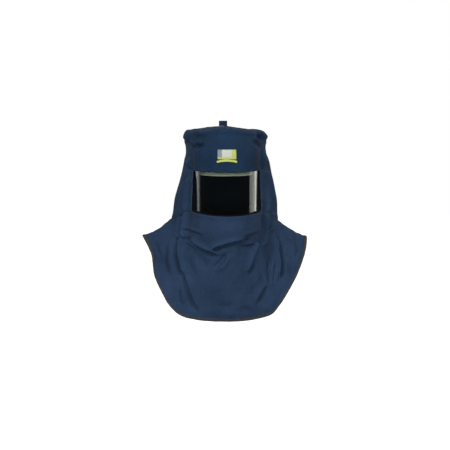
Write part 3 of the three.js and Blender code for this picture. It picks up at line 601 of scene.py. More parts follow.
def knot_gap(a, b):
    """The spacing of two control points that keeps a curve through them free of loops."""
    return ((a - b) ** 2).sum(-1, keepdims=True) ** 0.25


def spline(points, at, closed=False):
    """Points on the smooth curves through rows of control points."""
    at = np.asarray(at, float)
    count = len(points)
    if closed:
        start = np.floor(at).astype(int) % count
        weight = at - np.floor(at)
        four = [points[(start + k) % count] for k in (-1, 0, 1, 2)]
    else:
        start = np.clip(np.floor(at).astype(int), 0, count - 2)
        weight = at - start
        more = np.concatenate([[2 * points[0] - points[1]], points, [2 * points[-1] - points[-2]]])
        four = [more[start + k] for k in (0, 1, 2, 3)]
    a, b, c, d = four
    mid = knot_gap(b, c)
    mid = np.where(mid < 1e-4, 1.0, mid)
    before, after = knot_gap(a, b), knot_gap(c, d)
    before = np.where(before < 1e-4, mid, before)
    after = np.where(after < 1e-4, mid, after)
    leave = ((b - a) / before - (c - a) / (before + mid) + (c - b) / mid) * mid
    reach = ((c - b) / mid - (d - b) / (mid + after) + (d - c) / after) * mid
    w = weight.reshape((-1,) + (1,) * (points.ndim - 1))
    return b + leave * w + (3 * (c - b) - 2 * leave - reach) * w**2 + (2 * (b - c) + leave + reach) * w**3


def grid_normals(grid):
    down = np.gradient(grid, axis=0)
    across = np.roll(grid, -1, axis=1) - np.roll(grid, 1, axis=1)
    normal = np.cross(down, across)
    normal[0] = (0, 0, 1)
    return normal / np.maximum(np.linalg.norm(normal, axis=-1, keepdims=True), 1e-9)


def smooth_skin():
    """The hood's outer face without folds: grid lines by level down the hood and by station round it."""
    makers = [(crown_point, r) for r in CROWN_RINGS] + [(upper_point, r) for r in UPPER_RINGS]
    makers += [(cape_point, r) for r in CAPE_RINGS]
    half = STATIONS // 2
    round_hood = [(s, 1) for s in range(half + 1)] + [(s, -1) for s in range(half - 1, 0, -1)]
    control = np.array([[make(ring, s, side) for s, side in round_hood] for make, ring in makers])
    levels = np.arange(HEM * PER_LEVEL + 1) / PER_LEVEL
    stations = np.arange(STATIONS * PER_STATION) / PER_STATION
    signed = np.where(stations > STATIONS / 2, stations - STATIONS, stations)
    dip = SEAM_DIP * step(1.2, 3.4, np.abs(signed)) * (1 - 0.7 * step(6, 9, np.abs(signed)))
    near_seam = step(4.4, CROWN_SEAM, levels) * (1 - step(CROWN_SEAM, 7.9, levels))
    rows = spline(control, levels)
    grid = spline(rows.transpose(1, 0, 2), stations, True).transpose(1, 0, 2)
    dipped = levels[:, None] + near_seam[:, None] * dip[None]
    below = np.clip(np.floor(dipped * PER_LEVEL).astype(int), 0, len(levels) - 2)
    part = (dipped * PER_LEVEL - below)[..., None]
    column = np.arange(len(stations))[None]
    return grid[below, column] * (1 - part) + grid[below + 1, column] * part


# The folds: a row each, as seen from the front or from behind. Start, middle and end are x and z in
# millimetres. Then half width, depth of the valley, height of the roll beside it, whose sign says on which
# side of the line it stands, and how much of each end fades.
FRONT_FOLDS = (
    ((-165, -305), (-112, -306), (-88, -314), 5, 6.5, 3.8, 0.28),  # crease under the shield's foot, right
    ((-133, -326), (-100, -355), (-23, -383), 6, 19.5, 10, 0.2),  # swag, right branch
    ((-155, -340), (-126, -359), (-98, -372), 6.8, 10.4, 4.2, 0.32),
    ((-160, -328), (-147, -334), (-136, -322), 5, 6.5, 3.1, 0.28),
    ((-52, -370), (-10, -341), (84, -327), 6, 19.5, 10, 0.2),  # swag, left branch
    ((18, -341), (68, -351), (99, -340), 7, 5.9, 3.1, 0.28),
    ((34, -318), (76, -314), (114, -305), 6.5, 5.2, 2.5, 0.28),
    ((-6, -368), (-19, -396), (-53, -428), 6.8, 11.3, 7.2, 0.32),  # pucker under the meeting point
    ((-103, -366), (-90, -401), (-70, -424), 11.9, 9.4, -2.1, 0.36),
    ((-152, -246), (-158, -291), (-166, -332), 5.5, 20, 10, 0.24),  # right chest fold
    ((-164, -324), (-169, -388), (-148, -456), 5.5, 24, 12, 0.16),
    ((-148, -452), (-130, -503), (-106, -574), 5.5, 17, 9, 0.2),
    ((-160, -495), (-160, -524), (-160, -550), 5, 8, 4, 0.3),
    ((130, -252), (129, -312), (114, -352), 5.5, 24, 12, 0.14),  # left chest fold
    ((115, -344), (93, -385), (72, -446), 5.5, 24, -12, 0.16),
    ((164, -272), (159, -297), (134, -304), 5.1, 15.1, 5, 0.28),  # pocket beside the sill
    ((183, -326), (190, -405), (188, -470), 5.5, 22, -11, 0.2),  # left arm fold
    ((160, -386), (149, -433), (146, -490), 5.5, 12, 6, 0.26),
    ((166, -420), (162, -451), (160, -484), 5, 8, 4, 0.26),
    ((145, -478), (117, -521), (97, -556), 9, 10.4, -5, 0.4),
    ((-50, -530), (-7, -551), (36, -530), 15, 3.9, 1.9, 0.4),
    ((30, -580), (60, -560), (84, -590), 10, 2.6, 1.9, 0.4),
    ((224, -374), (234, -430), (222, -482), 11.9, 10.4, 5.8, 0.36),
    ((262, -336), (250, -390), (243, -440), 11, 8.5, -5, 0.4),
    ((-206, -330), (-212, -400), (-196, -474), 12.8, 10.4, 5.8, 0.36),
    ((-252, -332), (-238, -380), (-230, -430), 11, 8.5, 5, 0.4),
    ((-32, 42), (-37, 31), (-45, 18), 4, 9.1, 3.8, 0.35),  # beside the loop
    ((-127, 4), (-120, -13), (-105, -18), 4.7, 16.9, 10, 0.24),  # crown pocket, right
    ((-108, -16), (-95, -14), (-80, -4), 4.7, 15.1, 8.6, 0.24),
    ((-122, 20), (-96, 14), (-74, 26), 9.3, 7.5, 5.8, 0.36),
    ((104, 24), (121, 11), (146, 13), 6, 13.3, 7.2, 0.28),  # crown pocket, left
    ((82, 3), (100, -8), (117, -24), 5.1, 8.5, 5.8, 0.28),
    ((-127, -38), (-124, -67), (-118, -92), 4.5, 6, -9, 0.28),  # brow's side edges
    ((126, -34), (124, -66), (116, -94), 4.7, 8.5, 4.2, 0.28),
    ((-128, -112), (-145, -169), (-155, -275), 6, 10, 13, 0.3),  # beside the cheek seams
    ((-150, -110), (-160, -170), (-178, -232), 6.8, 7.5, -5, 0.32),
    ((157, -84), (159, -189), (160, -280), 6, 11, -10, 0.3),
    ((138, -64), (145, -89), (152, -114), 5, 6, 9, 0.3),
    ((152, -130), (166, -186), (178, -240), 6.8, 7.5, 5, 0.32),
)
BACK_FOLDS = (
    ((-120, -40), (-55, -54), (10, -52), 7.6, 7.2, 4.6, 0.36),
    ((-70, -110), (5, -120), (80, -108), 8.5, 5.8, 3.4, 0.4),
    ((-130, -240), (-64, -262), (-8, -292), 8.5, 13, 8, 0.28),
    ((18, -288), (80, -262), (140, -244), 8.5, 13, 8, 0.28),
    ((-150, -262), (-152, -366), (-174, -470), 8.5, 15.9, -8, 0.28),
    ((150, -262), (154, -366), (178, -464), 8.5, 14.5, 8, 0.28),
    ((-60, -296), (-68, -420), (-92, -566), 12.8, 11.6, -6.9, 0.32),
    ((66, -300), (76, -430), (84, -572), 12.8, 11.6, 6.9, 0.32),
    ((0, -320), (6, -440), (-4, -572), 11.9, 8.7, 5.2, 0.36),
    ((-216, -326), (-198, -396), (-180, -480), 8.5, 9.4, 5.2, 0.36),
    ((220, -326), (206, -400), (190, -484), 8.5, 9.4, -5.2, 0.36),
)
# shares of a fold's half width: its steep and its gentle flank, and the roll's place and half width
STEEP_FLANK, GENTLE_FLANK = 0.75, 1.7
ROLL_PLACE, ROLL_WIDTH = 1.55, 1.35


def fold_lift(points, folds):
    """How far the folds raise or press in each point of a grid."""
    lift = np.zeros(points.shape[:2])
    px, pz = points[..., 0], points[..., 2]
    for start, middle, end, width, depth, roll, fade in folds:
        t = np.linspace(0, 1, 17)[:, None]
        start, middle, end = np.array(start), np.array(middle), np.array(end)
        bend = 2 * middle - (start + end) / 2
        line = (1 - t) ** 2 * start + 2 * t * (1 - t) * bend + t**2 * end
        room = 6 * width
        low, high = line.min(0) - room, line.max(0) + room
        near = np.nonzero((px > low[0]) & (px < high[0]) & (pz > low[1]) & (pz < high[1]))
        x, z = px[near], pz[near]
        best = np.full(len(x), 1e9)
        side, along = np.zeros(len(x)), np.zeros(len(x))
        for k in range(len(line) - 1):
            (ax, az), (dx, dz) = line[k], line[k + 1] - line[k]
            share = np.clip(((x - ax) * dx + (z - az) * dz) / (dx * dx + dz * dz), 0, 1)
            away = np.hypot(x - ax - share * dx, z - az - share * dz)
            better = away < best
            best[better] = away[better]
            side[better] = np.sign(dx * (z - az) - dz * (x - ax))[better]
            along[better] = ((k + share) / (len(line) - 1))[better]
        ease = step(0, fade, np.minimum(along, 1 - along))
        signed = best * side * (1 if roll > 0 else -1)
        reach = np.where(signed > 0, STEEP_FLANK, GENTLE_FLANK) * width
        valley = -depth * np.exp(-((signed / reach) ** 2))
        ridge = abs(roll) * np.exp(-(((signed - ROLL_PLACE * width) / (ROLL_WIDTH * width)) ** 2))
        lift[near] += (valley + ridge) * ease
    return lift


# Unevenness of all cloth, and of the gathered crown: wavelength, height, lengthening downwards and seed.
RIPPLES = ((130, 1.7, 2.2, 5), (50, 1.1, 2.0, 6), (20, 0.3, 1.3, 7))
CROWN_RIPPLES = ((60, 1.1, 1.0, 8), (26, 0.5, 1.0, 9))


def ripple(points, wavelength, stretch, seed, waves=10):
    """Smooth seeded unevenness of about unit height. stretch lengthens it downwards."""
    rng = np.random.default_rng(seed)
    total = np.zeros(points.shape[:2])
    squeezed = points * np.array([1.0, 1.0, 1.0 / stretch])
    for _ in range(waves):
        turn = rng.normal(size=3)
        turn *= 2 * math.pi / wavelength * rng.uniform(0.6, 1.5) / np.linalg.norm(turn)
        total += np.sin(squeezed @ turn + rng.uniform(0, 2 * math.pi))
    return total / math.sqrt(waves / 2)


def rippled(points, rows):
    """Several layers of unevenness at once."""
    return sum(height * ripple(points, length, stretch, seed) for length, height, stretch, seed in rows)


def folded_skin():
    """The hood's outer face with its folds and ripples."""
    grid = smooth_skin()
    normal = grid_normals(grid)
    y, z = grid[..., 1], grid[..., 2]
    in_front, behind = step(0, 60, -y), step(10, 70, y)
    # Cloth is loose on the crown and below the neck, and drawn tighter over the shield.
    loose = 0.35 + 0.65 * step(-240, -330, z) + 0.5 * step(-30, 20, z)
    loose *= 0.55 + 0.45 * step(-150, -60, y) + 0.45 * step(-300, -360, z)
    lift = in_front * fold_lift(grid, FRONT_FOLDS) + behind * fold_lift(grid, BACK_FOLDS)
    lift += loose * rippled(grid, RIPPLES)
    lift += step(-12, 24, z) * rippled(grid, CROWN_RIPPLES)
    level = np.arange(len(grid))[:, None] / PER_LEVEL
    lift *= step(0, 2.0, level) * (1 - 0.6 * step(HEM - 0.5, HEM, level))
    return grid + normal * lift[..., None]


GRID = folded_skin()
NORMAL = grid_normals(GRID)


def spaced(lengths, fine, coarse, zone):
    """Places along a line, as indices with a part: close together near both ends, wider apart between."""
    total = lengths[-1]
    if total < 2 * zone + coarse:
        places = np.linspace(0, total, math.ceil(total / fine) + 1)
    else:
        ends = np.arange(0, zone, fine)
        middle = np.linspace(zone, total - zone, math.ceil((total - 2 * zone) / coarse) + 1)
        places = np.concatenate([ends, middle, total - ends[::-1]])
    return np.interp(places, lengths, np.arange(len(lengths)))


def sampled(grid, rows, columns):
    """Points of the skin between its grid lines. Columns run on past the front centre."""
    row = np.clip(np.floor(rows).astype(int), 0, len(grid) - 2)
    column = np.floor(columns).astype(int)
    down, over = (rows - row)[:, None, None], (columns - column)[None, :, None]
    left, right = column % grid.shape[1], (column + 1) % grid.shape[1]
    upper = grid[row][:, left] * (1 - over) + grid[row][:, right] * over
    lower = grid[row + 1][:, left] * (1 - over) + grid[row + 1][:, right] * over
    return upper * (1 - down) + lower * down


def run_lengths(points, axis):
    """Distances along one axis of a line or grid of points, from its start."""
    gaps = np.linalg.norm(np.diff(points, axis=axis), axis=-1)
    pad = [(0, 0)] * gaps.ndim
    pad[axis] = (1, 0)
    return np.cumsum(np.pad(gaps, pad), axis=axis)


CLOTH_SPACING = 2.6
EDGE_SPACING, EDGE_ZONE = 1.1, 9.0
STITCH_INSET = 6.5
HEM_STITCH_INSET = 9.0
HEM_ALLOWANCE = (10, 13)
HEM_RISE = 0.7
# rise, distance from the edge and half width of each hump or groove beside a sewn seam and a turned edge
SEAM_HUMPS = ((-1.9, 0, 2.3), (-0.45, STITCH_INSET, 1.3), (0.6, 11, 6))
HEM_HUMPS = ((-1.2, 0, 1.2), (-0.5, HEM_STITCH_INSET, 1.2))


def hump(away, centre, half_width):
    """A bell-shaped rise of height 1, at a distance from an edge."""
    return np.exp(-(((away - centre) / half_width) ** 2))


def panel_edges(edges, away, station):
    """How far the skin rises near each edge, and how worn it is there."""
    lift, worn = 0.0, 0.0
    open_window = 1 - step(EDGE - 0.08, EDGE + 0.08, np.abs(station))
    for edge, kind in edges.items():
        d = away[edge]
        sewn = {"sewn": 1.0, "turned": 0.0, "window": 1 - open_window, "bound": 0.0}[kind]
        turned = {"sewn": 0.0, "turned": 1.0, "window": open_window, "bound": 0.0}[kind]
        seam = sum(rise * hump(d, centre, half_width) for rise, centre, half_width in SEAM_HUMPS)
        doubled = HEM_RISE * (1 - step(*HEM_ALLOWANCE, d))
        hem = sum((rise * hump(d, centre, half_width) for rise, centre, half_width in HEM_HUMPS), doubled)
        lift = lift + sewn * seam + turned * hem
        worn = np.maximum(worn, hump(d, 2.8, 1.5) * sewn + hump(d, 0, 1.4) * turned)
    return lift, worn


def seam_puckers(points, edges, away):
    """Small gathers that thread tension leaves beside a seam."""
    nearest = np.min([away[edge] for edge in edges], axis=0)
    return 0.55 * ripple(points, 19, 1.0, 31) * hump(nearest, 9, 7)


def cut_panel(levels, stations, edges, spacing):
    """One panel as outer and inner points, with its edges rolled in where sewn and doubled where turned."""
    first, last = (round(v * PER_LEVEL) for v in levels)
    left, right = (round(v * PER_STATION) for v in stations)
    whole_round = right - left == STATIONS * PER_STATION
    columns = np.arange(left, right + 1)
    if whole_round:
        columns = columns[:-1:3].astype(float)
    else:
        middle = GRID[(first + last) // 2][columns % len(GRID[0])]
        columns = left + spaced(run_lengths(middle[None], 1)[0], EDGE_SPACING, spacing, EDGE_ZONE)
    rows = np.arange(first, last + 1)
    few = np.round(columns[::8]).astype(int) % len(GRID[0])
    rows = first + spaced(run_lengths(GRID[rows][:, few], 0).mean(1), EDGE_SPACING, spacing, EDGE_ZONE)
    points, normals = sampled(GRID, rows, columns), sampled(NORMAL, rows, columns)
    down, across = run_lengths(points, 0), run_lengths(points, 1)
    away = {"top": down, "bottom": down[-1:] - down, "left": across, "right": across[:, -1:] - across}
    station = np.tile(columns / PER_STATION, (len(rows), 1))
    lift, worn = panel_edges(edges, away, station)
    if levels[0] == 0:
        from_front = np.abs((station + STATIONS / 2) % STATIONS - STATIONS / 2)
        lift = lift * (1 - 0.5 * (1 - step(1.5, 3, from_front)))
    lift = lift + seam_puckers(points, edges, away)
    outer = points + normals * lift[..., None]
    inner = outer - normals * CLOTH_WALL
    uv = np.stack([across - across[:, -1:] / 2, down], -1)
    return {"outer": outer, "inner": inner, "normal": normals, "uv": uv, "away": away, "worn": worn,
            "round": whole_round}


def sheet_area(points):
    """Area of a grid of points, in square metres."""
    a, b = points[1:, 1:] - points[:-1, :-1], points[1:, :-1] - points[:-1, 1:]
    return float(np.linalg.norm(np.cross(a, b), axis=-1).sum() / 2) * 1e-6


def sew_panel(name, levels, stations, edges, material, node, spacing=CLOTH_SPACING):
    panel = cut_panel(levels, stations, edges, spacing)
    outer, inner = panel["outer"], panel["inner"]
    faces, rims = wall_faces(*outer.shape[:2], panel["round"])
    verts = np.concatenate([outer.reshape(-1, 3), inner.reshape(-1, 3)])
    uv = np.concatenate([panel["uv"].reshape(-1, 2)] * 2)
    worn = np.concatenate([panel["worn"].ravel()] * 2)
    flat = range(len(faces) - rims, len(faces))
    piece = new_piece(name, verts, faces.tolist(), uv, flat, worn)
    dress(piece, material, node)
    # The inner faces get the near-black reverse, a dull back with painted shade.
    piece.data.materials.append(shaded_cloth_back)
    half = (len(faces) - rims) // 2
    on_reverse = np.zeros(len(faces), dtype=np.int32)
    on_reverse[half:2 * half] = 1
    piece.data.polygons.foreach_set("material_index", on_reverse)
    if levels[0] == 0:
        weld_poles(piece)
    area = sheet_area(outer)
    if panel["round"]:
        area *= outer.shape[1] / (outer.shape[1] - 1)
    for edge, kind in edges.items():
        if kind != "bound":
            inset = HEM_STITCH_INSET if kind in ("turned", "window") else STITCH_INSET
            seam_rows.append(stitch_row(panel, edge, inset))


STITCH_LIFT = 0.12


def stitch_row(panel, edge, inset):
    """The line of a row of topstitching, at a distance from one edge of a panel."""
    away, points = panel["away"][edge], panel["outer"] + panel["normal"] * STITCH_LIFT
    if edge in ("top", "bottom"):
        away, points = away.T, points.transpose(1, 0, 2)
    line = []
    for d, row in zip(away, points):
        order = np.argsort(d)
        if d.max() > inset:
            line.append([np.interp(inset, d[order], row[order, k]) for k in range(3)])
    if panel["round"]:
        line.append(line[0])
    return np.array(line)


TWILL_SCALE = 0.49


def cotton_finish(name, color, seed):
    """Cotton twill: fine diagonal ribs, thicker yarns here and there, uneven dye, and pale rubbed seams."""
    finish = Finish(name)
    weave = finish.add("UVMap", uv_map="weave").outputs[0]
    ribs = finish.add("TexWave", {"Vector": weave, "Scale": TWILL_SCALE, "Distortion": 0.8, "Detail": 1.0,
                                  "Detail Scale": 2.0}, bands_direction="DIAGONAL").outputs[0]
    lengthened = finish.add("Mapping", {"Vector": weave, "Scale": (0.5, 0.06, 1)}).outputs[0]
    slubs = finish.noise(lengthened, 2.2, 2)
    moved = finish.add("Mapping", {"Vector": finish.place(), "Location": (seed, 0, 0)}).outputs[0]
    cloudy = finish.noise(moved, 11)
    mottled = finish.noise(moved, 170, 2)
    dark = tuple(c * 0.8 for c in color) + (1,)
    pale = tuple(c * 1.22 for c in color) + (1,)
    rubbed = tuple(c * 1.45 + 0.004 for c in color) + (1,)
    dyed = finish.blend(finish.ramp(cloudy, 0.3, 0.7, 0, 1), dark, pale)
    speckled = finish.blend(finish.ramp(mottled, 0.35, 0.75, 0, 0.35), dyed, rubbed)
    worn = finish.add("Attribute", attribute_name="worn").outputs["Fac"]
    patchy = finish.ramp(mottled, 0.3, 0.7, 0.1, 0.65)
    rub = finish.add("Math", {0: worn, 1: patchy}, operation="MULTIPLY").outputs[0]
    ribbed = finish.blend(finish.ramp(ribs, 0, 1, 0, 0.25), speckled, dark)
    finish.join(finish.blend(rub, ribbed, rubbed), "Base Color")
    rough = finish.bump(slubs, 0.25, 0.0004)
    finish.join(finish.bump(ribs, 0.35, 0.00018, rough), "Normal")
    finish.set(Roughness=0.95, Sheen_Weight=0.03, Sheen_Roughness=0.5, Specular_IOR_Level=0.12)
    finish.shader.inputs["Sheen Tint"].default_value = (0.6, 0.72, 1.0, 1)
    return finish.material


def shaded_back_finish(name):
    """The cloth's dull navy inner side, painted near-black with painted shade, since hardly any light reaches
    inside the hood.
    """
    finish = Finish(name)
    grain = finish.noise(finish.place(), 700, 2)
    # painted shade: the inner side is coloured near-black to stand in for the dark inside of the hood
    finish.join(finish.blend(grain, (0.0035, 0.0055, 0.009, 1), (0.007, 0.011, 0.018, 1)), "Base Color")
    finish.join(finish.bump(grain, 0.3, 0.0003), "Normal")
    finish.set(Roughness=1.0, Specular_IOR_Level=0.05)
    return finish.material


seam_rows = []
bib_cotton = cotton_finish("navy_cotton_bib", (0.0222, 0.0442, 0.09), 0.0)
shaded_cloth_back = shaded_back_finish("cotton_back_painted_shade")
hood_cotton = cotton_finish("navy_cotton_hood", (0.0125, 0.0312, 0.068), 3.0)

# Crown. One round piece of navy cotton over the cap, coloured darker than the bib and the sides, gathered
# all round into the seam that stands up at the top of the hood.
sew_panel("crown", (0, CROWN_SEAM), (0, STATIONS), {"bottom": "sewn"}, hood_cotton, "crown_panel")

# Brow. A band of the same cotton over the shield's top, sewn to the crown and the sides, with its lower
# edge turned in over the window.
sew_panel("brow", (CROWN_SEAM, BROW_EDGE), (-SEAM, SEAM),
          {"top": "sewn", "left": "sewn", "right": "sewn", "bottom": "window"}, hood_cotton, "brow_panel")

# Cheek strips. A narrow strip of navy cotton down each side of the window, turned in at the window and
# sewn to brow, side and bib.
for side, stations, window_edge, seam_edge in (("left", (EDGE, SEAM), "left", "right"),
                                               ("right", (-SEAM, -EDGE), "right", "left")):
    sew_panel("cheek_" + side, (BROW_EDGE, NECK), stations,
              {"top": "sewn", "bottom": "sewn", window_edge: "turned", seam_edge: "sewn"},
              bib_cotton, "cheek_strip_" + side)

# Sides and back. Three loose panels of navy cotton that hang from the crown seam down to the neck, sewn
# on all four sides.
for name, stations, node in (("side_left", (SEAM, REAR), "side_panel_left"),
                             ("side_right", (-REAR, -SEAM), "side_panel_right"),
                             ("back", (REAR, STATIONS - REAR), "back_panel")):
    sew_panel(name, (CROWN_SEAM, NECK), stations,
              {"top": "sewn", "bottom": "sewn", "left": "sewn", "right": "sewn"},
              bib_cotton, node)

# Bib and cape. Two broad panels of navy cotton that hang from the neck seam and meet at the shoulders. The
# bib lies over chest and shoulders, its top turned in under the window, and the cape over the back.
sew_panel("bib", (NECK, HEM), (-SIDE, SIDE),
          {"top": "window", "left": "sewn", "right": "sewn", "bottom": "bound"}, bib_cotton, "bib_front",
          spacing=2.9)
sew_panel("cape", (NECK, HEM), (SIDE, STATIONS - SIDE),
          {"top": "sewn", "left": "sewn", "right": "sewn", "bottom": "bound"}, bib_cotton, "cape_back")

# Window surround. A soft flap of black flame-resistant knit, sewn inside the window's edge and gathered
# against the shield, so that nothing passes between cloth and sheet.
SURROUND_WALL = 0.7
SURROUND_GAP = 1.5
SURROUND_SEAT = 0.9
SURROUND_LAP = 6.0
SURROUND_REVEAL = 5.0
SURROUND_BULGE = 1.4


def on_shield(points, clear):
    """The places on the shield's outer face nearest to points, standing clear of it."""
    x, y, z = points.T
    radius = SHIELD_RADIUS + clear
    behind = y > -SHIELD_CENTRE - SHIELD_RADIUS * math.cos(SHIELD_ARC_END)
    angle = np.arctan2(x, -SHIELD_CENTRE - y)
    arc = np.stack([radius * np.sin(angle), -SHIELD_CENTRE - radius * np.cos(angle), z], -1)
    leg = np.stack([np.sign(x) * (shield_flank(y) + clear), y, z], -1)
    return np.where(behind[:, None], leg, arc)


def window_loop():
    """A closed line of grid places, level and station, along the window's edge."""
    top, bottom = BROW_EDGE * PER_LEVEL, NECK * PER_LEVEL
    right, left = EDGE * PER_STATION, -EDGE * PER_STATION
    across, down = np.arange(left, right, 3), np.arange(top, bottom, 2)
    places = [(top, s) for s in across] + [(r, right) for r in down]
    places += [(bottom, s) for s in across[::-1] + 3] + [(r, left) for r in down[::-1] + 2]
    return np.array(places)


edge_levels, edge_stations = window_loop().T
edge_stations = edge_stations % len(GRID[0])
edge_points, edge_normals = GRID[edge_levels, edge_stations], NORMAL[edge_levels, edge_stations]
run = np.roll(edge_points, -1, 0) - np.roll(edge_points, 1, 0)
outwards = np.cross(run, edge_normals)
outwards /= np.linalg.norm(outwards, axis=1, keepdims=True)
outwards *= np.sign((outwards * (edge_points - edge_points.mean(0))).sum(1, keepdims=True))
for _ in range(3):
    outwards = (np.roll(outwards, 1, 0) + outwards + np.roll(outwards, -1, 0)) / 3
cloth_seat = edge_points - edge_normals * (CLOTH_WALL + SURROUND_GAP)
sewn_line = cloth_seat + outwards * SURROUND_LAP
# The flap shows below the window, and ever more down its -X side.
further_down = step(BROW_EDGE * PER_LEVEL, NECK * PER_LEVEL, edge_levels)
reveal = SURROUND_REVEAL * step(0.2, 0.8, -outwards[:, 2])
reveal += SURROUND_REVEAL * step(0.2, 0.8, -outwards[:, 0]) * further_down
shield_line = on_shield(cloth_seat - outwards * reveal[:, None], SURROUND_SEAT)
gathers = ripple(edge_points[None], 14, 1.0, 41)[0]
flap_rows = [lerp(sewn_line, cloth_seat, share) for share in np.linspace(0, 1, 6)]
for share in np.linspace(0, 1, 10)[1:]:
    bulge = SURROUND_BULGE * math.sin(math.pi * share) * (1 + 0.6 * gathers)
    flap_rows.append(lerp(cloth_seat, shield_line, share) + outwards * bulge[:, None])
for share in np.linspace(0, 1, 5)[1:]:
    flap_rows.append(on_shield(cloth_seat + outwards * SURROUND_LAP * share, SURROUND_SEAT + 0.2))
flap = np.array(flap_rows)
inward = np.cross(np.gradient(flap, axis=0), np.roll(flap, -1, 1) - np.roll(flap, 1, 1))
inward /= np.maximum(np.linalg.norm(inward, axis=-1, keepdims=True), 1e-9)
flap_verts, flap_faces, _ = wall_part(flap, flap + inward * SURROUND_WALL, True)
flap_uv = np.stack([run_lengths(flap, 1), run_lengths(flap, 0)], -1).reshape(-1, 2)
surround = new_piece("window_flap", flap_verts, flap_faces, np.concatenate([flap_uv] * 2))
outward(surround)
dress(surround, webbing_finish("black_knit", (0.0025, 0.0025, 0.003, 1), 0.9, 0.0), "window_surround")

# Topstitching. Navy polyester thread, lock-stitched in a row beside every seam and hem, with a stitch
# about 3 mm long. Each stitch is a short thick piece of thread that stands a little above the cloth.
STITCH_LENGTH = 2.3
STITCH_PITCH = 3.1
STITCH_THICKNESS = 0.62


def stitch_tree(name, material):
    """Node tree that lays stitches end to end along lines."""
    tree = bpy.data.node_groups.new(name, "GeometryNodeTree")
    tree.interface.new_socket("Lines", in_out="INPUT", socket_type="NodeSocketGeometry")
    for label, value in (("Pitch", STITCH_PITCH), ("Length", STITCH_LENGTH), ("Thickness", STITCH_THICKNESS)):
        socket = tree.interface.new_socket(label, in_out="INPUT", socket_type="NodeSocketFloat")
        socket.default_value = value * 0.001
    tree.interface.new_socket("Stitches", in_out="OUTPUT", socket_type="NodeSocketGeometry")
    node, link = tree.nodes.new, tree.links.new
    given, result = node("NodeGroupInput"), node("NodeGroupOutput")
    curve, resample = node("GeometryNodeMeshToCurve"), node("GeometryNodeResampleCurve")
    resample.mode = "LENGTH"
    thread = node("GeometryNodeMeshUVSphere")
    thread.inputs["Segments"].default_value = 5
    thread.inputs["Rings"].default_value = 4
    thread.inputs["Radius"].default_value = 0.5
    tangent, turn = node("GeometryNodeInputTangent"), node("FunctionNodeAlignRotationToVector")
    turn.axis = "Z"
    size = node("ShaderNodeCombineXYZ")
    place, realize = node("GeometryNodeInstanceOnPoints"), node("GeometryNodeRealizeInstances")
    paint = node("GeometryNodeSetMaterial")
    paint.inputs["Material"].default_value = material
    link(given.outputs["Lines"], curve.inputs[0])
    link(curve.outputs[0], resample.inputs["Curve"])
    link(given.outputs["Pitch"], resample.inputs["Length"])
    link(tangent.outputs[0], turn.inputs["Vector"])
    link(given.outputs["Thickness"], size.inputs["X"])
    link(given.outputs["Thickness"], size.inputs["Y"])
    link(given.outputs["Length"], size.inputs["Z"])
    link(resample.outputs[0], place.inputs["Points"])
    link(thread.outputs["Mesh"], place.inputs["Instance"])
    link(turn.outputs[0], place.inputs["Rotation"])
    link(size.outputs[0], place.inputs["Scale"])
    link(place.outputs[0], realize.inputs[0])
    link(realize.outputs[0], paint.inputs["Geometry"])
    link(paint.outputs[0], result.inputs[0])
    return tree


def stitch_rows(name, rows, material):
    """Makes one piece of the stitches along several lines of points."""
    verts, edges = [], []
    for row in rows:
        edges += [(len(verts) + k, len(verts) + k + 1) for k in range(len(row) - 1)]
        verts += (np.asarray(row) * 0.001).tolist()
    mesh = bpy.data.meshes.new(name + "_lines")
    mesh.from_pydata(verts, edges, [])
    lines = bpy.data.objects.new(name + "_lines", mesh)
    bpy.context.collection.objects.link(lines)
    tree = stitch_tree(name, material)
    modifier = lines.modifiers.new("stitches", "NODES")
    modifier.node_group = tree
    for socket in tree.interface.items_tree:
        if socket.in_out == "INPUT" and socket.socket_type == "NodeSocketFloat":
            modifier[socket.identifier] = socket.default_value
    evaluated = lines.evaluated_get(bpy.context.evaluated_depsgraph_get())
    stitched = bpy.data.objects.new(name, bpy.data.meshes.new_from_object(evaluated))
    stitched.data.polygons.foreach_set("use_smooth", [True] * len(stitched.data.polygons))
    bpy.context.collection.objects.link(stitched)
    bpy.data.objects.remove(lines)
    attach(stitched, "root")


def thread_finish(name, color):
    finish = Finish(name)
    cloudy = finish.noise(finish.place(), 400, 2)
    finish.join(finish.blend(cloudy, tuple(c * 0.7 for c in color) + (1,), color + (1,)), "Base Color")
    finish.set(Roughness=0.8, Specular_IOR_Level=0.2)
    return finish.material


stitch_rows("seam_stitches", seam_rows, thread_finish("navy_thread", (0.015, 0.034, 0.074)))

# Hem binding. Charcoal twill tape, folded over the raw edge of bib and cape all round and stitched
# through both layers near its upper edge.
BINDING_REVEAL = 8.0
BINDING_OUT = 1.5
BINDING_SEAM_INSET = 1.9
BINDING_STITCH_SINK = 0.15
hem_numbers = np.arange(0, len(GRID[0]), 3)
hem_edge, hem_normal = GRID[-1][hem_numbers], NORMAL[-2][hem_numbers]
hem_down = hem_edge - GRID[-6][hem_numbers]
hem_down -= hem_normal * (hem_down * hem_normal).sum(1, keepdims=True)
hem_down /= np.linalg.norm(hem_down, axis=1, keepdims=True)
# The tape's section, as places down from the hem's edge and out from the cloth's face.
tape_front = [(-BINDING_REVEAL, 0.35), (-BINDING_REVEAL + 0.2, BINDING_OUT - 0.35),
              (-BINDING_REVEAL + 0.9, BINDING_OUT),
              (-BINDING_REVEAL + BINDING_SEAM_INSET, BINDING_OUT - 0.35),
              (-BINDING_REVEAL + 3.0, BINDING_OUT + 0.1),
              (-3.0, BINDING_OUT + 0.25), (-1.0, BINDING_OUT + 0.1)]
half_thick = (CLOTH_WALL + 2 * BINDING_OUT) / 2
tape_edge = [(0.3 + half_thick * 0.8 * math.cos(t), -CLOTH_WALL / 2 + half_thick * math.sin(t))
             for t in np.linspace(math.pi / 2, -math.pi / 2, 9)]
tape_back = [(-3.0, -CLOTH_WALL - BINDING_OUT), (-BINDING_REVEAL, -CLOTH_WALL - BINDING_OUT),
             (-BINDING_REVEAL, -CLOTH_WALL - 0.35)]
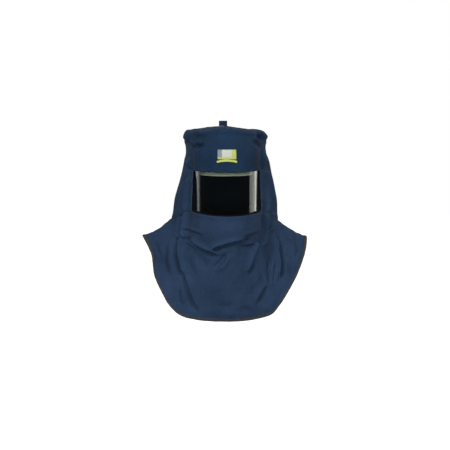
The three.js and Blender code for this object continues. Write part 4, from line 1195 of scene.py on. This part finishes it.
tape_inside = [(-2.0, -CLOTH_WALL - 0.3), (-0.2, -CLOTH_WALL / 2), (-2.0, 0.3)]
tape_section = np.array(tape_front + tape_edge + tape_back + tape_inside)
tape_downs, tape_outs = tape_section[None, :, :1], tape_section[None, :, 1:]
wave = 0.35 * ripple(hem_edge[None], 24, 1.0, 51)[0][:, None, None]
tape = (hem_edge[:, None] + hem_down[:, None] * (tape_downs + wave * 0.6)
        + hem_normal[:, None] * (tape_outs + 0.4 * wave * (tape_outs > 0)))
tape_faces = grid_faces(len(hem_edge), len(tape_section), ring_rows=True, ring_columns=True)
hem_run = run_lengths(hem_edge, 0)
tape_uv = np.stack(np.meshgrid(run_lengths(tape_section, 0), hem_run), -1).reshape(-1, 2)
binding = new_piece("edge_tape", tape.reshape(-1, 3), tape_faces.tolist(), tape_uv)
outward(binding)
dress(binding, webbing_finish("charcoal_tape", (0.042, 0.044, 0.049, 1), 1.2), "hem_binding")
tape_seam = (hem_edge - hem_down * (BINDING_REVEAL - BINDING_SEAM_INSET)
             + hem_normal * (BINDING_OUT - BINDING_STITCH_SINK))
stitch_rows("tape_stitches", [np.concatenate([tape_seam, tape_seam[:1]])],
            thread_finish("charcoal_thread", (0.04, 0.039, 0.043)))

# Hang loop. Navy polyester webbing, folded to a flat loop to hang the hood up by, its two ends stitched
# down on top of the crown.
TRIM_SHIFT = -6.0
LOOP_WIDTH = 28.0
LOOP_HEIGHT = 18.0
LOOP_GAP = 8.0
LOOP_WALL = 1.6
LOOP_ROUNDING = 0.7
LOOP_FOOT = 7.0
half_gap = (LOOP_GAP + LOOP_WALL) / 2
foot_height = LOOP_WALL / 2
bend_height = LOOP_HEIGHT - LOOP_WALL / 2 - half_gap
loop_foot = [(-half_gap - LOOP_FOOT + along, foot_height) for along in np.linspace(0, LOOP_FOOT - 2, 4)]
loop_foot += [(-half_gap - 0.6, foot_height + 0.7), (-half_gap, foot_height + 2.4)]
loop_side = loop_foot + [(-half_gap, height) for height in np.linspace(5, bend_height, 3)]
loop_bend = [(half_gap * math.cos(t), bend_height + half_gap * math.sin(t))
             for t in np.linspace(math.pi, 0, 13)]
loop_line = loop_side + loop_bend + [(-y, z) for y, z in loop_side[::-1]]
loop_path = np.array([(TRIM_SHIFT, -CROWN_CENTRE + y, CROWN_RISE + SEAT_GAP + z) for y, z in loop_line])
loop_outline = rounded_bar(LOOP_WIDTH, LOOP_WALL, LOOP_ROUNDING)
loop = joined_piece("webbing_loop", [swept(loop_path, (1, 0, 0), loop_outline)])
dress(loop, webbing_finish("navy_webbing", (0.012, 0.024, 0.048, 1), 1.5), "hang_loop")

# Badge plate and lip. A thin grey plastic plate with a pale middle and a yellow-green end, curved to the
# brow, and under it a bright yellow plastic strip whose ends curl forward. Both stand just off the cloth.
BADGE_WIDTH = 60.0
BADGE_HEIGHT = 31.0
BADGE_WALL = 1.4
BADGE_DROP = 28.0
BADGE_CORNER = 1.5
BADGE_STAND_OFF = 0.9
LIP_WIDTH = 63.0
LIP_HEIGHT = 6.8
LIP_WALL = 1.6
LIP_CORNER = 2.0
LIP_ARCH = 4.2
LIP_CURL = 2.6
BROW_REACH = 50.0
brow_rows = np.arange(CROWN_SEAM * PER_LEVEL, BROW_EDGE * PER_LEVEL)
brow_columns = np.arange(-2 * PER_STATION, 2 * PER_STATION + 1) % len(GRID[0])
brow_smooth = smooth_skin()[brow_rows][:, brow_columns].reshape(-1, 3)
under_trim = (np.abs(brow_smooth[:, 0]) < BROW_REACH) & (brow_smooth[:, 2] < -BADGE_DROP / 2)
brow_smooth = brow_smooth[under_trim]


def brow_terms(x, z):
    """Powers of x and z that a smooth face as curved as the brow can be made of."""
    return np.stack([np.ones_like(x), x**2, x**4, z, z**2, z**3, x**2 * z, x**2 * z**2], -1)


brow_fit = np.linalg.lstsq(brow_terms(*brow_smooth[:, ::2].T / BROW_REACH), brow_smooth[:, 1], rcond=None)[0]


def on_brow(x, z):
    """The points of the smooth brow seen at x and z from the front."""
    return np.stack([x, brow_terms(x / BROW_REACH, z / BROW_REACH) @ brow_fit, z], -1)


def rounded_sheet(width, height, corner, columns, rows):
    """Across and down places of a rounded rectangle, as a grid squeezed at its corners."""
    u, v = np.meshgrid(np.linspace(-1, 1, columns), np.linspace(-1, 1, rows))
    inset = np.maximum(0, np.abs(v) * height / 2 - (height / 2 - corner))
    narrow = corner - np.sqrt(np.maximum(0, corner**2 - inset**2))
    return u * (width / 2 - narrow), (1 + v) * height / 2


def curved_plate(name, width, top, height, wall, lift, corner, arch=0.0, curl=0.0):
    """A thin plate laid on the brow, its ends lowered by arch and turned forward by curl."""
    x, down = rounded_sheet(width, height, corner, 67, 31)
    z = top - down - arch * (2 * x / width) ** 2
    points = on_brow(x + TRIM_SHIFT, z)
    normal = np.cross(np.gradient(points, axis=0), np.gradient(points, axis=1))
    normal /= np.linalg.norm(normal, axis=-1, keepdims=True)
    normal *= np.where(normal[..., 1:2] > 0, -1, 1)
    edge = np.minimum(1, np.minimum(width / 2 - np.abs(x), np.minimum(down, height - down)) / 0.8)
    curled = curl * np.abs(2 * x / width) ** 4
    outer = points + normal * (lift + wall - 0.35 * (1 - np.clip(edge, 0, 1)) ** 2 + curled)[..., None]
    inner = points + normal * (lift + curled)[..., None]
    faces, rims = wall_faces(*outer.shape[:2])
    verts = np.concatenate([outer.reshape(-1, 3), inner.reshape(-1, 3)])
    uv = np.concatenate([np.stack([x, -down], -1).reshape(-1, 2)] * 2)
    piece = new_piece(name, verts, faces.tolist(), uv, range(len(faces) - rims, len(faces)))
    outward(piece)
    return piece


badge = curved_plate("badge", BADGE_WIDTH, -BADGE_DROP, BADGE_HEIGHT, BADGE_WALL, BADGE_STAND_OFF,
                     BADGE_CORNER)
label = Finish("label_plastic")
places = label.add("SeparateXYZ", {"Vector": label.add("UVMap", uv_map="weave").outputs[0]})
grain = label.noise(label.place(), 500, 2)
grey = label.blend(grain, (0.17, 0.19, 0.21, 1), (0.225, 0.24, 0.265, 1))
middle_share = label.ramp(places.outputs[0], -17.0, -15.0, 0, 1)
tinted = label.blend(middle_share, grey, (0.55, 0.58, 0.5, 1))
end_share = label.ramp(places.outputs[0], 13.5, 16.5, 0, 1)
foot_share = label.ramp(places.outputs[1], -21.0, -26.0, 0, 0.8)
lime_share = label.add("Math", {0: end_share, 1: foot_share}, operation="MAXIMUM").outputs[0]
label.join(label.blend(lime_share, tinted, (0.46, 0.52, 0.12, 1)), "Base Color")
label.join(label.bump(grain, 0.1, 0.0001), "Normal")
label.set(Roughness=0.42)
dress(badge, label.material, "badge_plate")

lip = curved_plate("bright_strip", LIP_WIDTH, -BADGE_DROP - BADGE_HEIGHT - SEAT_GAP, LIP_HEIGHT, LIP_WALL,
                   BADGE_STAND_OFF, LIP_CORNER, LIP_ARCH, LIP_CURL)
dress(lip, moulded_finish("yellow_plastic", (0.6, 0.69, 0.13, 1), 0.38), "badge_lip")

# Studio. A plain pale floor far below the hem, which hangs free. A white surround, large soft lights
# from the front and one at the side for the bands in the shield. In metres.
FLOOR_DROP = 1.7
FLOOR_HALF_WIDTH = 12
floor_corners = [(x * FLOOR_HALF_WIDTH, y * FLOOR_HALF_WIDTH, -FLOOR_DROP)
                 for x, y in ((-1, -1), (1, -1), (1, 1), (-1, 1))]
floor_mesh = bpy.data.meshes.new("floor")
floor_mesh.from_pydata(floor_corners, [], [(0, 1, 2, 3)])
floor = bpy.data.objects.new("floor", floor_mesh)
bpy.context.collection.objects.link(floor)
pale = Finish("pale_floor")
pale.join(pale.blend(pale.noise(pale.place(), 3), (0.86, 0.86, 0.86, 1), (0.9, 0.9, 0.9, 1)), "Base Color")
pale.set(Roughness=0.95, Specular_IOR_Level=0.0, Emission_Color=(1, 1, 1, 1), Emission_Strength=0.75)
floor.data.materials.append(pale.material)
floor.visible_diffuse = False
floor.visible_transmission = False
floor.visible_glossy = False

# The surround is white to the camera. Otherwise it is bright behind and above and dark in front.
world = bpy.data.worlds.new("studio")
world.use_nodes = True
sky, sky_link = world.node_tree, world.node_tree.links.new
surround_light = sky.nodes["Background"]
seen_surround = sky.nodes.new("ShaderNodeBackground")
way = sky.nodes.new("ShaderNodeSeparateXYZ")
brighter = sky.nodes.new("ShaderNodeMath")
brighter.operation = "MAXIMUM"
choose = sky.nodes.new("ShaderNodeMixShader")
sky_link(sky.nodes.new("ShaderNodeTexCoord").outputs["Generated"], way.inputs[0])
for k, (axis, ends) in enumerate((("Y", (0.38, 0.66, 0.02, 0.8)), ("Z", (0.1, 0.9, 0.0, 0.5)))):
    fall = sky.nodes.new("ShaderNodeMapRange")
    for end, value in zip(("From Min", "From Max", "To Min", "To Max"), ends):
        fall.inputs[end].default_value = value
    sky_link(way.outputs[axis], fall.inputs[0])
    sky_link(fall.outputs[0], brighter.inputs[k])
for background in (surround_light, seen_surround):
    background.inputs[0].default_value = (1, 1, 1, 1)
sky_link(brighter.outputs[0], surround_light.inputs[1])
sky_link(sky.nodes.new("ShaderNodeLightPath").outputs["Is Camera Ray"], choose.inputs[0])
sky_link(surround_light.outputs[0], choose.inputs[1])
sky_link(seen_surround.outputs[0], choose.inputs[2])
sky_link(choose.outputs[0], sky.nodes["World Output"].inputs[0])
bpy.context.scene.world = world


def soft_light(name, place, aim, size, power):
    lamp = bpy.data.lights.new(name, "AREA")
    lamp.shape = "RECTANGLE"
    lamp.size, lamp.size_y = size
    lamp.energy = power
    light = bpy.data.objects.new(name, lamp)
    light.location = place
    light.rotation_euler = Vector(np.subtract(aim, place)).to_track_quat("-Z", "Y").to_euler()
    bpy.context.collection.objects.link(light)
    return light


soft_light("key_left", (-1.5, -2.2, 1.2), (0, 0, -0.3), (1.0, 1.2), 31)
soft_light("key_right", (1.3, -2.3, 1.3), (0, 0, -0.3), (1.0, 1.2), 18)
front = soft_light("front", (-0.1, -3.3, -0.1), (0, 0, -0.25), (1.0, 0.8), 44)
front.visible_glossy = False
front.visible_transmission = False
strip = soft_light("strip_right", (2.2, 0.75, -0.2), (0.1, -0.1, -0.2), (2.0, 2.6), 21)
strip.visible_diffuse = False

# Camera. As far off and as high as the photograph's, with a slight shift for its framing. In metres,
# and the sensor and the lens in millimetres.
AIM = (0.0, -0.020, -0.282)
DISTANCE = 2.8
AZIMUTH, ELEVATION = math.radians(-4), math.radians(7)
SENSOR_WIDTH, FOCAL_LENGTH = 36, 64
PHOTO_WIDTH, PHOTO_SHIFT = 450, -4
camera_data = bpy.data.cameras.new("camera")
camera_data.sensor_width = SENSOR_WIDTH
camera_data.lens = FOCAL_LENGTH
camera_data.shift_y = PHOTO_SHIFT / PHOTO_WIDTH
camera = bpy.data.objects.new("camera", camera_data)
back = np.array([math.sin(AZIMUTH) * math.cos(ELEVATION), -math.cos(AZIMUTH) * math.cos(ELEVATION),
                 math.sin(ELEVATION)])
camera.location = np.array(AIM) + back * DISTANCE
camera.rotation_euler = Vector(-back).to_track_quat("-Z", "Y").to_euler()
bpy.context.collection.objects.link(camera)
bpy.context.scene.camera = camera
bpy.context.scene.view_settings.view_transform = "Standard"

bpy.context.view_layer.update()
